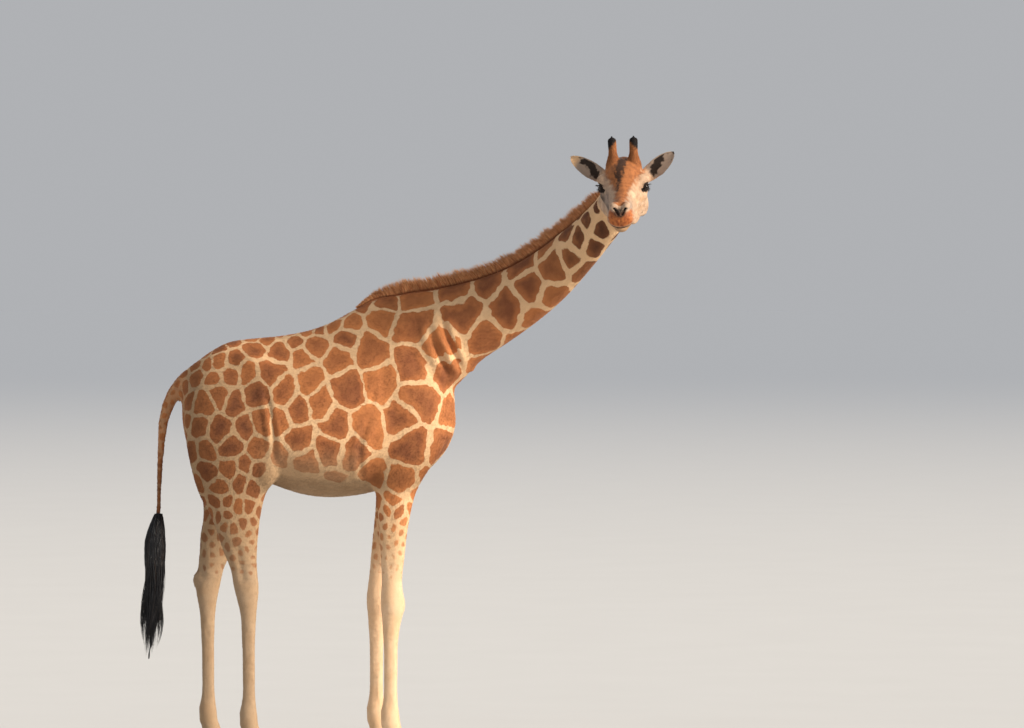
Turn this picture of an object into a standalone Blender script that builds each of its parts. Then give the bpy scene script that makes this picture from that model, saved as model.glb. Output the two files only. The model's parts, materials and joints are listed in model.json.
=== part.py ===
"""A life-size standing giraffe, its neck stretched forward and bent to its right.

Body and head are each fused from swept forms and then parted by thin cuts into named solids, one per part of the
animal. Run with: blender --background --python part.py

Metres, +Z up. The trunk points along +X and +Y is the animal's left. Sizes are in the animal's own frame, where
X = 0 is under the withers, Y = 0 the middle of the trunk and Z = 0 the ground. The last step moves the whole model
so that the origin is the middle of its bounding box, on the ground.
"""

from math import cos, pi, radians, sin

import bmesh
import bpy
import numpy as np
from mathutils import Matrix, Vector

# ---------------------------------------------------------------- driving dimensions
CUT_GAP = 0.0006  # between two solids parted by a plane
SKIN_GAP = 0.0020  # between the skin and what lies on it
EYE_GAP = 0.0004  # between an eye and its socket
BODY_VOXEL = 0.016
HEAD_VOXEL = 0.007
BODY_TRIANGLES = 3900
HEAD_TRIANGLES = 1600

CORONET_HEIGHT = 0.095
KNEE_HEIGHT = 0.87
HOCK_HEIGHT = 0.94
LEG_TOP = 1.48  # just below the belly
BETWEEN_LEGS = -0.45
NECK_BASE = (0.155, 0, 2.43)
NECK_BASE_NORMAL = (0.888, 0, 0.459)

# where each foot stands
FORE_FEET = {"right": (-0.035, -0.19), "left": (-0.125, 0.19)}
HIND_FEET = {"right": (-0.865, -0.19), "left": (-1.120, 0.19)}

HEAD_MIDDLE = Vector((1.305, -0.87, 3.333))  # the point between the eyes
HEAD_PITCH = radians(24)
HEAD_TURN = radians(4.5)
HEAD_ROLL = radians(1.5)
EYE_RADIUS = 0.027
EYE_PLACE = (0.008, 0.117, 0.010)  # forward of HEAD_MIDDLE, out to the side, up


# ---------------------------------------------------------------- materials
def finish(name, colour, roughness):
    """A Principled material of one colour."""
    material = bpy.data.materials.new(name)
    material.use_nodes = True
    shader = material.node_tree.nodes["Principled BSDF"]
    shader.inputs["Base Color"].default_value = (*colour, 1.0)
    shader.inputs["Roughness"].default_value = roughness
    shader.inputs["Metallic"].default_value = 0.0
    return material


FINISHES = {
    "coat": ((0.45, 0.20, 0.08), 0.85),
    "pale_coat": ((0.72, 0.52, 0.34), 0.85),
    "mane_hair": ((0.30, 0.11, 0.04), 0.9),
    "black_hair": ((0.012, 0.011, 0.012), 0.8),
    "hoof_horn": ((0.10, 0.07, 0.05), 0.55),
    "eye_gloss": ((0.015, 0.010, 0.008), 0.08),
}


# ---------------------------------------------------------------- curves and swept forms
def smooth_rows(rows, count):
    """Rows of numbers read at count places along a Catmull-Rom curve, spaced evenly by the chords of the first three."""
    rows = np.array(rows, float)
    chord = np.linalg.norm(np.diff(rows[:, :3], axis=0), axis=1)
    at = np.concatenate([[0], np.cumsum(chord)])
    slopes = np.gradient(rows, at, axis=0)
    out = []
    for s in np.linspace(0, at[-1], count):
        i = min(max(int(np.searchsorted(at, s)) - 1, 0), len(at) - 2)
        span = at[i + 1] - at[i]
        t = (s - at[i]) / span
        out.append(
            (2 * t**3 - 3 * t**2 + 1) * rows[i]
            + (t**3 - 2 * t**2 + t) * span * slopes[i]
            + (3 * t**2 - 2 * t**3) * rows[i + 1]
            + (t**3 - t**2) * span * slopes[i + 1]
        )
    return np.array(out)


def add_sweep(bm, stations, dorsal, rings, corners, upright=False):
    """One closed swept form in bm. A station is x, y, z, half side, up, down, taper: an oval whose upper and lower
    halves have their own depths, and whose sides draw in towards the top by the taper. The ovals stand square to the
    line of centres, or upright across X when asked."""
    rows = smooth_rows(stations, rings)
    centres = rows[:, :3]
    tangents = np.gradient(centres, axis=0)
    loops = []
    for row, tangent in zip(rows, tangents):
        along = Vector((1, 0, 0)) if upright else Vector(tangent).normalized()
        side = Vector(dorsal).cross(along).normalized()
        up = along.cross(side)
        ring = []
        for k in range(corners):
            angle = 2 * pi * k / corners
            height = sin(angle)
            width = row[3] * cos(angle) * (1 - row[6] * height)
            depth = height * (row[4] if height > 0 else row[5])
            ring.append(bm.verts.new(Vector(row[:3]) + side * width + up * depth))
        loops.append(ring)
    for first, second in zip(loops, loops[1:]):
        for k in range(corners):
            n = (k + 1) % corners
            bm.faces.new((first[k], first[n], second[n], second[k]))
    bm.faces.new(reversed(loops[0]))
    bm.faces.new(loops[-1])


def add_swelling(bm, centre, radii):
    """An ellipsoid of muscle or bone, joined to the sweeps when they are fused."""
    matrix = Matrix.Translation(centre) @ Matrix.Diagonal((*radii, 1))
    bmesh.ops.create_icosphere(bm, subdivisions=3, radius=1, matrix=matrix)


def object_of(bm, name):
    """Makes a named object of bm, with its faces pointing out."""
    bmesh.ops.recalc_face_normals(bm, faces=bm.faces)
    mesh = bpy.data.meshes.new(name)
    bm.to_mesh(mesh)
    bm.free()
    obj = bpy.data.objects.new(name, mesh)
    bpy.context.scene.collection.objects.link(obj)
    return obj


def swept_object(name, stations, dorsal, rings, corners):
    bm = bmesh.new()
    add_sweep(bm, stations, dorsal, rings, corners)
    bmesh.ops.triangulate(bm, faces=bm.faces)
    return object_of(bm, name)


def apply_modifiers(obj):
    """Replaces the object's mesh by the one that its modifiers give."""
    bpy.context.view_layer.update()
    graph = bpy.context.evaluated_depsgraph_get()
    mesh = bpy.data.meshes.new_from_object(obj.evaluated_get(graph))
    obj.modifiers.clear()
    obj.data = mesh
    return obj


def fuse(obj, voxel, softness, passes):
    """Joins overlapping closed forms into one skin, and softens the creases between them: softness gives each
    point's share of the smoothing from its place."""
    remesh = obj.modifiers.new("fuse", "REMESH")
    remesh.mode = "VOXEL"
    remesh.voxel_size = voxel
    apply_modifiers(obj)
    mesh = obj.data
    points = np.empty(len(mesh.vertices) * 3)
    mesh.vertices.foreach_get("co", points)
    points = points.reshape(-1, 3)
    ends = np.empty(len(mesh.edges) * 2, int)
    mesh.edges.foreach_get("vertices", ends)
    ends = ends.reshape(-1, 2)
    share = softness(points)[:, None]
    degree = np.bincount(ends.ravel(), minlength=len(points))[:, None]
    for _ in range(passes):
        total = np.zeros_like(points)
        for axis in range(3):
            total[:, axis] = np.bincount(
                ends[:, 0], points[ends[:, 1], axis], len(points)
            ) + np.bincount(ends[:, 1], points[ends[:, 0], axis], len(points))
        points = points + share * (total / degree - points)
    mesh.vertices.foreach_set("co", points.ravel())
    mesh.update()
    return obj


def thin_out(obj, triangles):
    """Collapses edges until about this many triangles are left."""
    mesh = obj.data
    mesh.calc_loop_triangles()
    decimate = obj.modifiers.new("thin_out", "DECIMATE")
    decimate.ratio = min(1.0, triangles / len(mesh.loop_triangles))
    return apply_modifiers(obj)


# ---------------------------------------------------------------- trunk
# x, back height, belly height, half width, draw-in towards the back
TRUNK_PROFILE = (
    (-1.286, 2.150, 1.960, 0.080, 0.0),
    (-1.262, 2.235, 1.830, 0.140, 0.05),
    (-1.200, 2.318, 1.740, 0.185, 0.10),
    (-1.120, 2.380, 1.700, 0.215, 0.16),
    (-1.020, 2.434, 1.670, 0.236, 0.22),
    (-0.900, 2.456, 1.640, 0.246, 0.28),
    (-0.740, 2.471, 1.580, 0.262, 0.32),
    (-0.560, 2.502, 1.522, 0.290, 0.34),
    (-0.420, 2.549, 1.508, 0.300, 0.36),
    (-0.320, 2.603, 1.512, 0.298, 0.40),
    (-0.200, 2.668, 1.530, 0.284, 0.44),
    (-0.080, 2.708, 1.560, 0.262, 0.46),
    (0.020, 2.712, 1.590, 0.240, 0.44),
    (0.130, 2.640, 1.640, 0.214, 0.40),
    (0.230, 2.440, 1.730, 0.180, 0.25),
    (0.300, 2.230, 1.830, 0.120, 0.10),
    (0.328, 2.120, 1.900, 0.060, 0.0),
)
BELLY_SHARE = 0.46  # the trunk is widest this far up from the belly


def trunk_stations():
    rows = []
    for x, back, belly, half_width, taper in TRUNK_PROFILE:
        middle = belly + BELLY_SHARE * (back - belly)
        rows.append((x, 0, middle, half_width, back - middle, middle - belly, taper))
    return rows


# ---------------------------------------------------------------- neck
# x, y, z, half width, depth up, depth down, taper: bent towards the animal's right
NECK = (
    (-0.060, 0.000, 2.350, 0.150, 0.300, 0.320, 0.35),
    (0.159, 0.000, 2.431, 0.190, 0.318, 0.322, 0.35),
    (0.360, -0.035, 2.531, 0.165, 0.250, 0.252, 0.30),
    (0.555, -0.098, 2.620, 0.143, 0.212, 0.215, 0.25),
    (0.723, -0.184, 2.714, 0.125, 0.188, 0.190, 0.22),
    (0.867, -0.284, 2.820, 0.113, 0.172, 0.174, 0.20),
    (0.985, -0.390, 2.929, 0.104, 0.156, 0.160, 0.16),
    (1.112, -0.531, 3.059, 0.097, 0.136, 0.142, 0.12),
    (1.225, -0.680, 3.195, 0.092, 0.120, 0.130, 0.06),
    (1.300, -0.765, 3.310, 0.088, 0.098, 0.110, 0.0),
)


# ---------------------------------------------------------------- legs
# height, forward of the foot, half front to back, half side to side, inward of the foot
FORELEG = (
    (2.520, -0.010, 0.100, 0.030, 0.085),
    (2.300, 0.030, 0.180, 0.075, 0.045),
    (2.050, 0.096, 0.215, 0.100, 0.015),
    (1.880, 0.092, 0.222, 0.102, 0.010),
    (1.740, 0.046, 0.186, 0.096, 0.012),
    (1.620, 0.018, 0.150, 0.088, 0.016),
    (1.500, 0.008, 0.118, 0.079, 0.020),
    (1.380, 0.000, 0.100, 0.072, 0.026),
    (1.180, -0.006, 0.078, 0.061, 0.032),
    (1.000, -0.010, 0.067, 0.056, 0.034),
    (0.930, -0.008, 0.074, 0.064, 0.034),
    (0.870, -0.006, 0.075, 0.067, 0.032),
    (0.790, -0.012, 0.062, 0.055, 0.028),
    (0.680, -0.016, 0.050, 0.045, 0.022),
    (0.500, -0.017, 0.046, 0.042, 0.014),
    (0.320, -0.018, 0.049, 0.045, 0.008),
    (0.225, -0.020, 0.062, 0.057, 0.004),
    (0.170, -0.012, 0.060, 0.056, 0.002),
    (0.120, 0.004, 0.062, 0.060, 0.0),
    (0.050, 0.020, 0.074, 0.066, 0.0),
)
HINDLEG = (
    (2.260, -0.150, 0.160, 0.050, 0.070),
    (2.080, -0.150, 0.245, 0.105, 0.045),
    (1.900, -0.130, 0.272, 0.125, 0.030),
    (1.720, -0.122, 0.252, 0.120, 0.026),
    (1.560, -0.112, 0.214, 0.106, 0.030),
    (1.400, -0.092, 0.152, 0.086, 0.034),
    (1.240, -0.074, 0.114, 0.069, 0.034),
    (1.100, -0.050, 0.084, 0.056, 0.030),
    (1.010, -0.038, 0.080, 0.054, 0.028),
    (0.940, -0.030, 0.072, 0.055, 0.026),
    (0.850, -0.024, 0.056, 0.048, 0.022),
    (0.700, -0.022, 0.046, 0.040, 0.016),
    (0.500, -0.020, 0.043, 0.038, 0.010),
    (0.320, -0.020, 0.046, 0.041, 0.006),
    (0.225, -0.022, 0.059, 0.053, 0.003),
    (0.170, -0.014, 0.056, 0.052, 0.001),
    (0.120, 0.002, 0.059, 0.056, 0.0),
    (0.050, 0.018, 0.070, 0.062, 0.0),
)
SET_BACK_FROM = 1.69  # a hind leg set back swings from the stifle down, and is not moved above it


def leg_stations(profile, foot, hip_x):
    """A leg's stations, standing over its foot. Above the stifle or elbow it keeps to hip_x, and it eases across below."""
    foot_x, foot_y = foot
    outward = 1 if foot_y > 0 else -1
    rows = []
    for height, forward, half_depth, half_width, inward in profile:
        swing = min(max((SET_BACK_FROM - height) / (SET_BACK_FROM - KNEE_HEIGHT), 0.0), 1.0)
        swing = swing * swing * (3 - 2 * swing)
        x = hip_x + (foot_x - hip_x) * swing + forward
        rows.append((x, foot_y - outward * inward, height, half_width, half_depth, half_depth, 0.0))
    return rows


# bony and muscular prominences of one side, added to both: centre (its y measured out from the middle), radii
PROMINENCES = (
    ((-0.150, 0.175, 1.700), (0.060, 0.050, 0.085)),  # elbow
    ((0.195, 0.110, 1.965), (0.145, 0.105, 0.170)),  # point of the shoulder
    ((0.020, 0.100, 2.380), (0.120, 0.080, 0.230)),  # shoulder blade
    ((-0.790, 0.195, 1.690), (0.085, 0.080, 0.130)),  # stifle
    ((-1.190, 0.085, 2.100), (0.085, 0.070, 0.120)),  # pin bone
    ((-0.865, 0.120, 2.310), (0.130, 0.070, 0.070)),  # hip bone
)
DEW_PAD = (0.022, 0.018, 0.026)
HOCK_POINT = (0.034, 0.024, 0.055)


def body():
    """Trunk, neck and legs fused into one skin."""
    bm = bmesh.new()
    add_sweep(bm, trunk_stations(), (0, 0, 1), 64, 40, upright=True)
    add_sweep(bm, NECK, (0, 0, 1), 60, 32)
    for side, outward in (("right", -1), ("left", 1)):
        fore, hind = FORE_FEET[side], HIND_FEET[side]
        add_sweep(bm, leg_stations(FORELEG, fore, FORE_FEET["right"][0]), (1, 0, 0), 90, 24)
        add_sweep(bm, leg_stations(HINDLEG, hind, HIND_FEET["right"][0]), (1, 0, 0), 90, 24)
        for foot in (fore, hind):
            for claw in (-1, 1):
                add_swelling(bm, (foot[0] - 0.062, foot[1] + 0.024 * claw, 0.185), DEW_PAD)
        add_swelling(bm, (hind[0] - 0.088, hind[1] - 0.026 * outward, 1.015), HOCK_POINT)
        for (x, y, z), radii in PROMINENCES:
            add_swelling(bm, (x, y * outward, z), radii)
    whole = object_of(bm, "body")

    def softness(points):
        """Full on the trunk and hips, little on the lower legs and the upper neck."""
        height = np.clip((points[:, 2] - 1.15) / 0.35, 0, 1)
        forward = np.clip((1.05 - points[:, 0]) / 0.35, 0, 1)
        return 0.08 + 0.52 * height * forward

    fuse(whole, BODY_VOXEL, softness, 14)
    return thin_out(whole, BODY_TRIANGLES)


# ---------------------------------------------------------------- head
def head_matrix():
    """The head's frame: its X runs from poll to muzzle, its Y to the animal's left, its Z up through the horns."""
    forward = Vector(
        (
            -sin(HEAD_TURN) * cos(HEAD_PITCH),
            -cos(HEAD_TURN) * cos(HEAD_PITCH),
            -sin(HEAD_PITCH),
        )
    )
    left = Vector((cos(HEAD_TURN), -sin(HEAD_TURN), 0))
    up = forward.cross(left)
    left, up = (
        left * cos(HEAD_ROLL) + up * sin(HEAD_ROLL),
        up * cos(HEAD_ROLL) - left * sin(HEAD_ROLL),
    )
    turn = Matrix((forward, left, up)).transposed().to_4x4()
    return Matrix.Translation(HEAD_MIDDLE) @ turn


HEAD = head_matrix()

# forward, top, bottom, half width, draw-in towards the top
SKULL_PROFILE = (
    (-0.210, 0.080, -0.050, 0.050, 0.0),
    (-0.180, 0.124, -0.100, 0.090, 0.08),
    (-0.125, 0.150, -0.148, 0.120, 0.16),
    (-0.060, 0.146, -0.172, 0.133, 0.16),
    (0.000, 0.120, -0.174, 0.132, 0.12),
    (0.060, 0.094, -0.166, 0.118, 0.10),
    (0.120, 0.074, -0.148, 0.099, 0.08),
    (0.180, 0.060, -0.128, 0.083, 0.06),
    (0.240, 0.054, -0.112, 0.075, 0.08),
    (0.290, 0.054, -0.106, 0.076, 0.14),
    (0.330, 0.047, -0.100, 0.079, 0.20),
    (0.362, 0.026, -0.086, 0.064, 0.22),
    (0.380, 0.002, -0.062, 0.036, 0.15),
)
# centre (its y measured out from the middle) and radii of the forms of one side of the head
SKULL_FORMS = (
    ((-0.018, 0.116, 0.054), (0.052, 0.042, 0.028)),  # brow
    ((0.004, 0.118, -0.026), (0.060, 0.022, 0.028)),  # cheek bone
    ((-0.045, 0.090, -0.120), (0.100, 0.045, 0.066)),  # jaw muscle
    ((0.055, 0.060, -0.122), (0.170, 0.040, 0.044)),  # side of the lower jaw
    ((0.190, 0.036, -0.104), (0.130, 0.040, 0.028)),  # front of the lower jaw
    ((0.322, 0.034, 0.036), (0.034, 0.025, 0.023)),  # nostril wing
    ((0.328, 0.036, -0.036), (0.046, 0.044, 0.034)),  # upper lip
    ((-0.145, 0.114, 0.006), (0.040, 0.034, 0.046)),  # ear root
)
FOREHEAD = ((-0.035, 0, 0.100), (0.095, 0.085, 0.040))
CHIN = ((0.318, 0, -0.095), (0.048, 0.044, 0.034))
HORN_ROOT = Vector((-0.088, 0.058, 0.100))
HORN_TIP = Vector((-0.128, 0.063, 0.270))
HORN_CUT = 0.44  # share of the horn that stays with the skull
# share of the way up the horn, radius
HORN_PROFILE = ((-0.2, 0.048), (0.1, 0.038), (0.35, 0.0295), (0.6, 0.0255), (0.83, 0.0245), (0.95, 0.019), (1.0, 0.009))


def skull_stations():
    rows = []
    for forward, top, bottom, half_width, taper in SKULL_PROFILE:
        middle = (top + bottom) / 2
        rows.append((forward, 0, middle, half_width, top - middle, middle - bottom, taper))
    return rows


def horn_stations(side):
    """A skin-covered horn: wide at its root, slim in the middle, with a blunt knob."""
    rows = []
    for along, radius in HORN_PROFILE:
        place = HORN_ROOT.lerp(HORN_TIP, along)
        rows.append((place.x, place.y * side, place.z, radius, radius, radius, 0))
    return rows


def head():
    """Skull, lips, brows and horns fused with the top of the neck into one skin."""
    bm = bmesh.new()
    add_sweep(bm, skull_stations(), (0, 0, 1), 40, 32, upright=True)
    for side in (-1, 1):
        add_sweep(bm, horn_stations(side), (1, 0, 0), 16, 16)
        for (forward, out, up), radii in SKULL_FORMS:
            add_swelling(bm, (forward, out * side, up), radii)
    add_swelling(bm, *FOREHEAD)
    add_swelling(bm, *CHIN)
    bmesh.ops.transform(bm, matrix=HEAD, verts=bm.verts)
    add_sweep(bm, NECK[-4:], (0, 0, 1), 24, 32)
    fused = object_of(bm, "head_whole")

    def softness(points):
        return np.full(len(points), 0.45)

    fuse(fused, HEAD_VOXEL, softness, 5)
    return thin_out(fused, HEAD_TRIANGLES)


# ---------------------------------------------------------------- ears
EAR_ROOT = Vector((-0.150, 0.104, -0.007))
EAR_TIP = {"right": Vector((-0.150, 0.310, 0.142)), "left": Vector((-0.165, 0.289, 0.149))}
EAR_WIDTH = 0.057  # half, at its widest
EAR_LOWER, EAR_UPPER = 1.00, 0.96  # shares of that width below and above the ear's own line
EAR_THICKNESS = 0.009
EAR_CUP = 0.030


def ear(name, side_name, side):
    """A leaf-shaped cup, open to the front, its lower edge the rounder one. Both faces are one grid of rows from root
    to tip and columns from edge to edge, the back one set off by the ear's thickness."""
    rows, columns = 8, 5
    along_axis = (EAR_TIP[side_name] - EAR_ROOT).normalized()
    length = (EAR_TIP[side_name] - EAR_ROOT).length
    out_axis = Vector((1, 0, 0))
    across_axis = out_axis.cross(along_axis).normalized()
    bm = bmesh.new()
    faces = []
    for layer in (0, 1):
        grid = []
        for i in range(rows):
            s = i / (rows - 1)
            width = EAR_WIDTH * (0.6 + 0.4 * sin(pi / 2 * min(1.0, (s + 0.05) / 0.4))) * (1 - 0.995 * s**4) ** 0.7
            line = []
            for j in range(columns):
                t = 2 * j / (columns - 1) - 1
                across = width * t * (EAR_LOWER if t < 0 else EAR_UPPER)
                cup = EAR_CUP * (t * t - 0.55) * (1 - 0.75 * s) - layer * EAR_THICKNESS * (1 - 0.5 * abs(t))
                place = EAR_ROOT + along_axis * (s * length) + across_axis * across + out_axis * cup
                line.append(bm.verts.new((place.x, place.y * side, place.z)))
            grid.append(line)
        faces.append(grid)
    front, back = faces
    for grid in faces:
        for i in range(rows - 1):
            for j in range(columns - 1):
                bm.faces.new((grid[i][j], grid[i][j + 1], grid[i + 1][j + 1], grid[i + 1][j]))
    rim = (
        [(i, 0) for i in range(rows)]
        + [(rows - 1, j) for j in range(1, columns)]
        + [(i, columns - 1) for i in range(rows - 2, -1, -1)]
        + [(0, j) for j in range(columns - 2, 0, -1)]
    )
    for (a, b), (c, d) in zip(rim, rim[1:] + rim[:1]):
        bm.faces.new((front[a][b], front[c][d], back[c][d], back[a][b]))
    bmesh.ops.transform(bm, matrix=HEAD, verts=bm.verts)
    return object_of(bm, name)


# ---------------------------------------------------------------- tail, tuft and mane
TAIL = (
    (-1.100, 0.000, 2.285, 0.060, 0.070, 0.070, 0),
    (-1.205, 0.000, 2.248, 0.056, 0.062, 0.062, 0),
    (-1.290, 0.000, 2.178, 0.048, 0.052, 0.052, 0),
    (-1.352, -0.005, 2.090, 0.040, 0.044, 0.044, 0),
    (-1.390, -0.010, 1.980, 0.034, 0.036, 0.036, 0),
    (-1.406, -0.015, 1.840, 0.028, 0.029, 0.029, 0),
    (-1.418, -0.020, 1.640, 0.023, 0.023, 0.023, 0),
    (-1.424, -0.020, 1.421, 0.020, 0.020, 0.020, 0),
)
TUFT = (
    (-1.424, -0.020, 1.418, 0.021, 0.021, 0.021, 0),
    (-1.425, -0.020, 1.405, 0.024, 0.024, 0.024, 0),
    (-1.432, -0.020, 1.360, 0.032, 0.038, 0.038, 0),
    (-1.442, -0.020, 1.270, 0.050, 0.058, 0.058, 0),
    (-1.446, -0.020, 1.160, 0.052, 0.060, 0.060, 0),
    (-1.446, -0.018, 1.040, 0.044, 0.052, 0.052, 0),
    (-1.452, -0.014, 0.900, 0.042, 0.062, 0.062, 0),
    (-1.462, -0.010, 0.760, 0.036, 0.066, 0.066, 0),
    (-1.474, -0.006, 0.640, 0.024, 0.048, 0.048, 0),
    (-1.482, -0.004, 0.560, 0.008, 0.018, 0.018, 0),
)
MANE_HEIGHT = 0.085
MANE_HALF_WIDTH = 0.017
# the crest line behind the neck, from where the mane starts
MANE_START = ((-0.250, 0.0, 2.628), (-0.150, 0.0, 2.678), (-0.030, 0.0, 2.700))


def mane_stations():
    """The crest line: along the back from behind the withers, then along the top of the neck to the poll. The height
    of the hair swells from nothing at each end."""
    crest = list(MANE_START)
    rows = smooth_rows(NECK, 16)
    tangents = np.gradient(rows[:, :3], axis=0)
    for row, tangent in zip(rows, tangents):
        if row[0] < 0.16:
            continue
        along = Vector(tangent).normalized()
        side = Vector((0, 0, 1)).cross(along).normalized()
        up = along.cross(side)
        crest.append(tuple(Vector(row[:3]) + up * (row[4] - 0.012)))
    crest = crest[:-1]
    count = len(crest)
    stations = []
    for i, place in enumerate(crest):
        share = i / (count - 1)
        swell = min(1.0, share / 0.15, (1 - share) / 0.10 + 0.45)
        height = MANE_HEIGHT * max(swell, 0.08)
        stations.append((*place, MANE_HALF_WIDTH * (0.5 + 0.5 * swell), height + 0.012, 0.035, 0.35))
    return stations


# ---------------------------------------------------------------- hooves and eyes
HOOF_LENGTH = 0.205
HOOF_HALF_WIDTH = 0.040
HOOF_SPLIT = 0.003


def hoof_claw(name, foot, side, size):
    """One of a foot's two claws: flat on the ground, sloping up from a blunt toe to the coronet, its inner wall flat
    against the split. Rows run from heel to toe, each a closed outline from sole to top."""
    bm = bmesh.new()
    heel, toe = -0.085 * size, (HOOF_LENGTH - 0.085) * size
    top = CORONET_HEIGHT - CUT_GAP
    steps = 6
    rings = []
    for i in range(steps + 1):
        s = i / steps
        x = heel + (toe - heel) * s
        bulge = sin(pi * min(1.0, 0.13 + 0.80 * s)) ** 0.55
        half = HOOF_HALF_WIDTH * size * bulge * (1 - 0.30 * s)
        slope = min(1.0, (1 - s) / 0.52) ** 0.75
        height = max(top * slope, 0.016)
        lean = 0.20 * (1 - s)
        outline = [
            (0.0, 0.0),
            (1.90 * half, 0.0),
            (2.0 * half, 0.25 * height),
            (1.90 * half - lean * 0.5 * half, 0.75 * height),
            (1.66 * half - lean * half, height),
            (0.0, height),
        ]
        inner = HOOF_SPLIT / 2 + 0.010 * s * s
        ring = []
        for across, z in outline:
            ring.append(bm.verts.new((foot[0] + x, foot[1] + side * (inner + across), z)))
        rings.append(ring)
    for first, second in zip(rings, rings[1:]):
        for k in range(len(first)):
            n = (k + 1) % len(first)
            bm.faces.new((first[k], first[n], second[n], second[k]))
    bm.faces.new(rings[0])
    bm.faces.new(rings[-1])
    return object_of(bm, name)


def eyeball(name, side, radius):
    forward, out, up = EYE_PLACE
    bm = bmesh.new()
    centre = HEAD @ Vector((forward, out * side, up))
    bmesh.ops.create_icosphere(bm, subdivisions=2, radius=radius, matrix=Matrix.Translation(centre))
    return object_of(bm, name)


# ---------------------------------------------------------------- parting the whole by thin cuts
def as_cutter(obj):
    obj.hide_render = True
    obj.display_type = "WIRE"
    return obj


def subtract(obj, cutter):
    cut = obj.modifiers.new("cut_" + cutter.name, "BOOLEAN")
    cut.operation = "DIFFERENCE"
    cut.object = cutter
    return obj


def keep_largest(obj):
    """Drops the slivers that a cut leaves on the far side of the skin."""
    bm = bmesh.new()
    bm.from_mesh(obj.data)
    left = set(bm.verts)
    islands = []
    while left:
        island, front = set(), [left.pop()]
        while front:
            vert = front.pop()
            island.add(vert)
            for edge in vert.link_edges:
                other = edge.other_vert(vert)
                if other in left:
                    left.remove(other)
                    front.append(other)
        islands.append(island)
    islands.sort(key=len)
    for island in islands[:-1]:
        bmesh.ops.delete(bm, geom=list(island), context="VERTS")
    bm.to_mesh(obj.data)
    bm.free()
    return obj


def half_of(obj, name, centre, normal):
    """What lies behind a plane, closed with a flat cap, as a new object."""
    bm = bmesh.new()
    bm.from_mesh(obj.data)
    everything = bm.verts[:] + bm.edges[:] + bm.faces[:]
    bmesh.ops.bisect_plane(
        bm, geom=everything, dist=1e-6, plane_co=centre, plane_no=normal, clear_outer=True
    )
    rim = [edge for edge in bm.edges if edge.is_boundary]
    if rim:
        caps = bmesh.ops.holes_fill(bm, edges=rim)["faces"]
        bmesh.ops.triangulate(bm, faces=caps)
    return object_of(bm, name)


def split(obj, centre, normal, behind, ahead):
    """Parts obj at a plane, leaving CUT_GAP between the two, and returns them under their names."""
    centre, normal = Vector(centre), Vector(normal).normalized()
    first = half_of(obj, behind, centre - normal * CUT_GAP / 2, normal)
    second = half_of(obj, ahead, centre + normal * CUT_GAP / 2, -normal)
    bpy.data.objects.remove(obj)
    return first, second


def neck_cut(index):
    """Centre and direction of the neck at one of its stations."""
    before, after = Vector(NECK[index - 1][:3]), Vector(NECK[index + 1][:3])
    return Vector(NECK[index][:3]), (after - before).normalized()


def swollen_copy(obj, name):
    """A copy of obj grown by SKIN_GAP, for cutting what lies on it."""
    copy = bpy.data.objects.new(name, obj.data.copy())
    bpy.context.scene.collection.objects.link(copy)
    grow = copy.modifiers.new("grow", "DISPLACE")
    grow.strength = SKIN_GAP
    grow.mid_level = 0
    return as_cutter(apply_modifiers(copy))


def paint(obj, finish_name, materials):
    obj.data.materials.clear()
    obj.data.materials.append(materials[finish_name])
    obj.data.shade_smooth()
    obj.data.set_sharp_from_angle(angle=radians(50))


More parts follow.
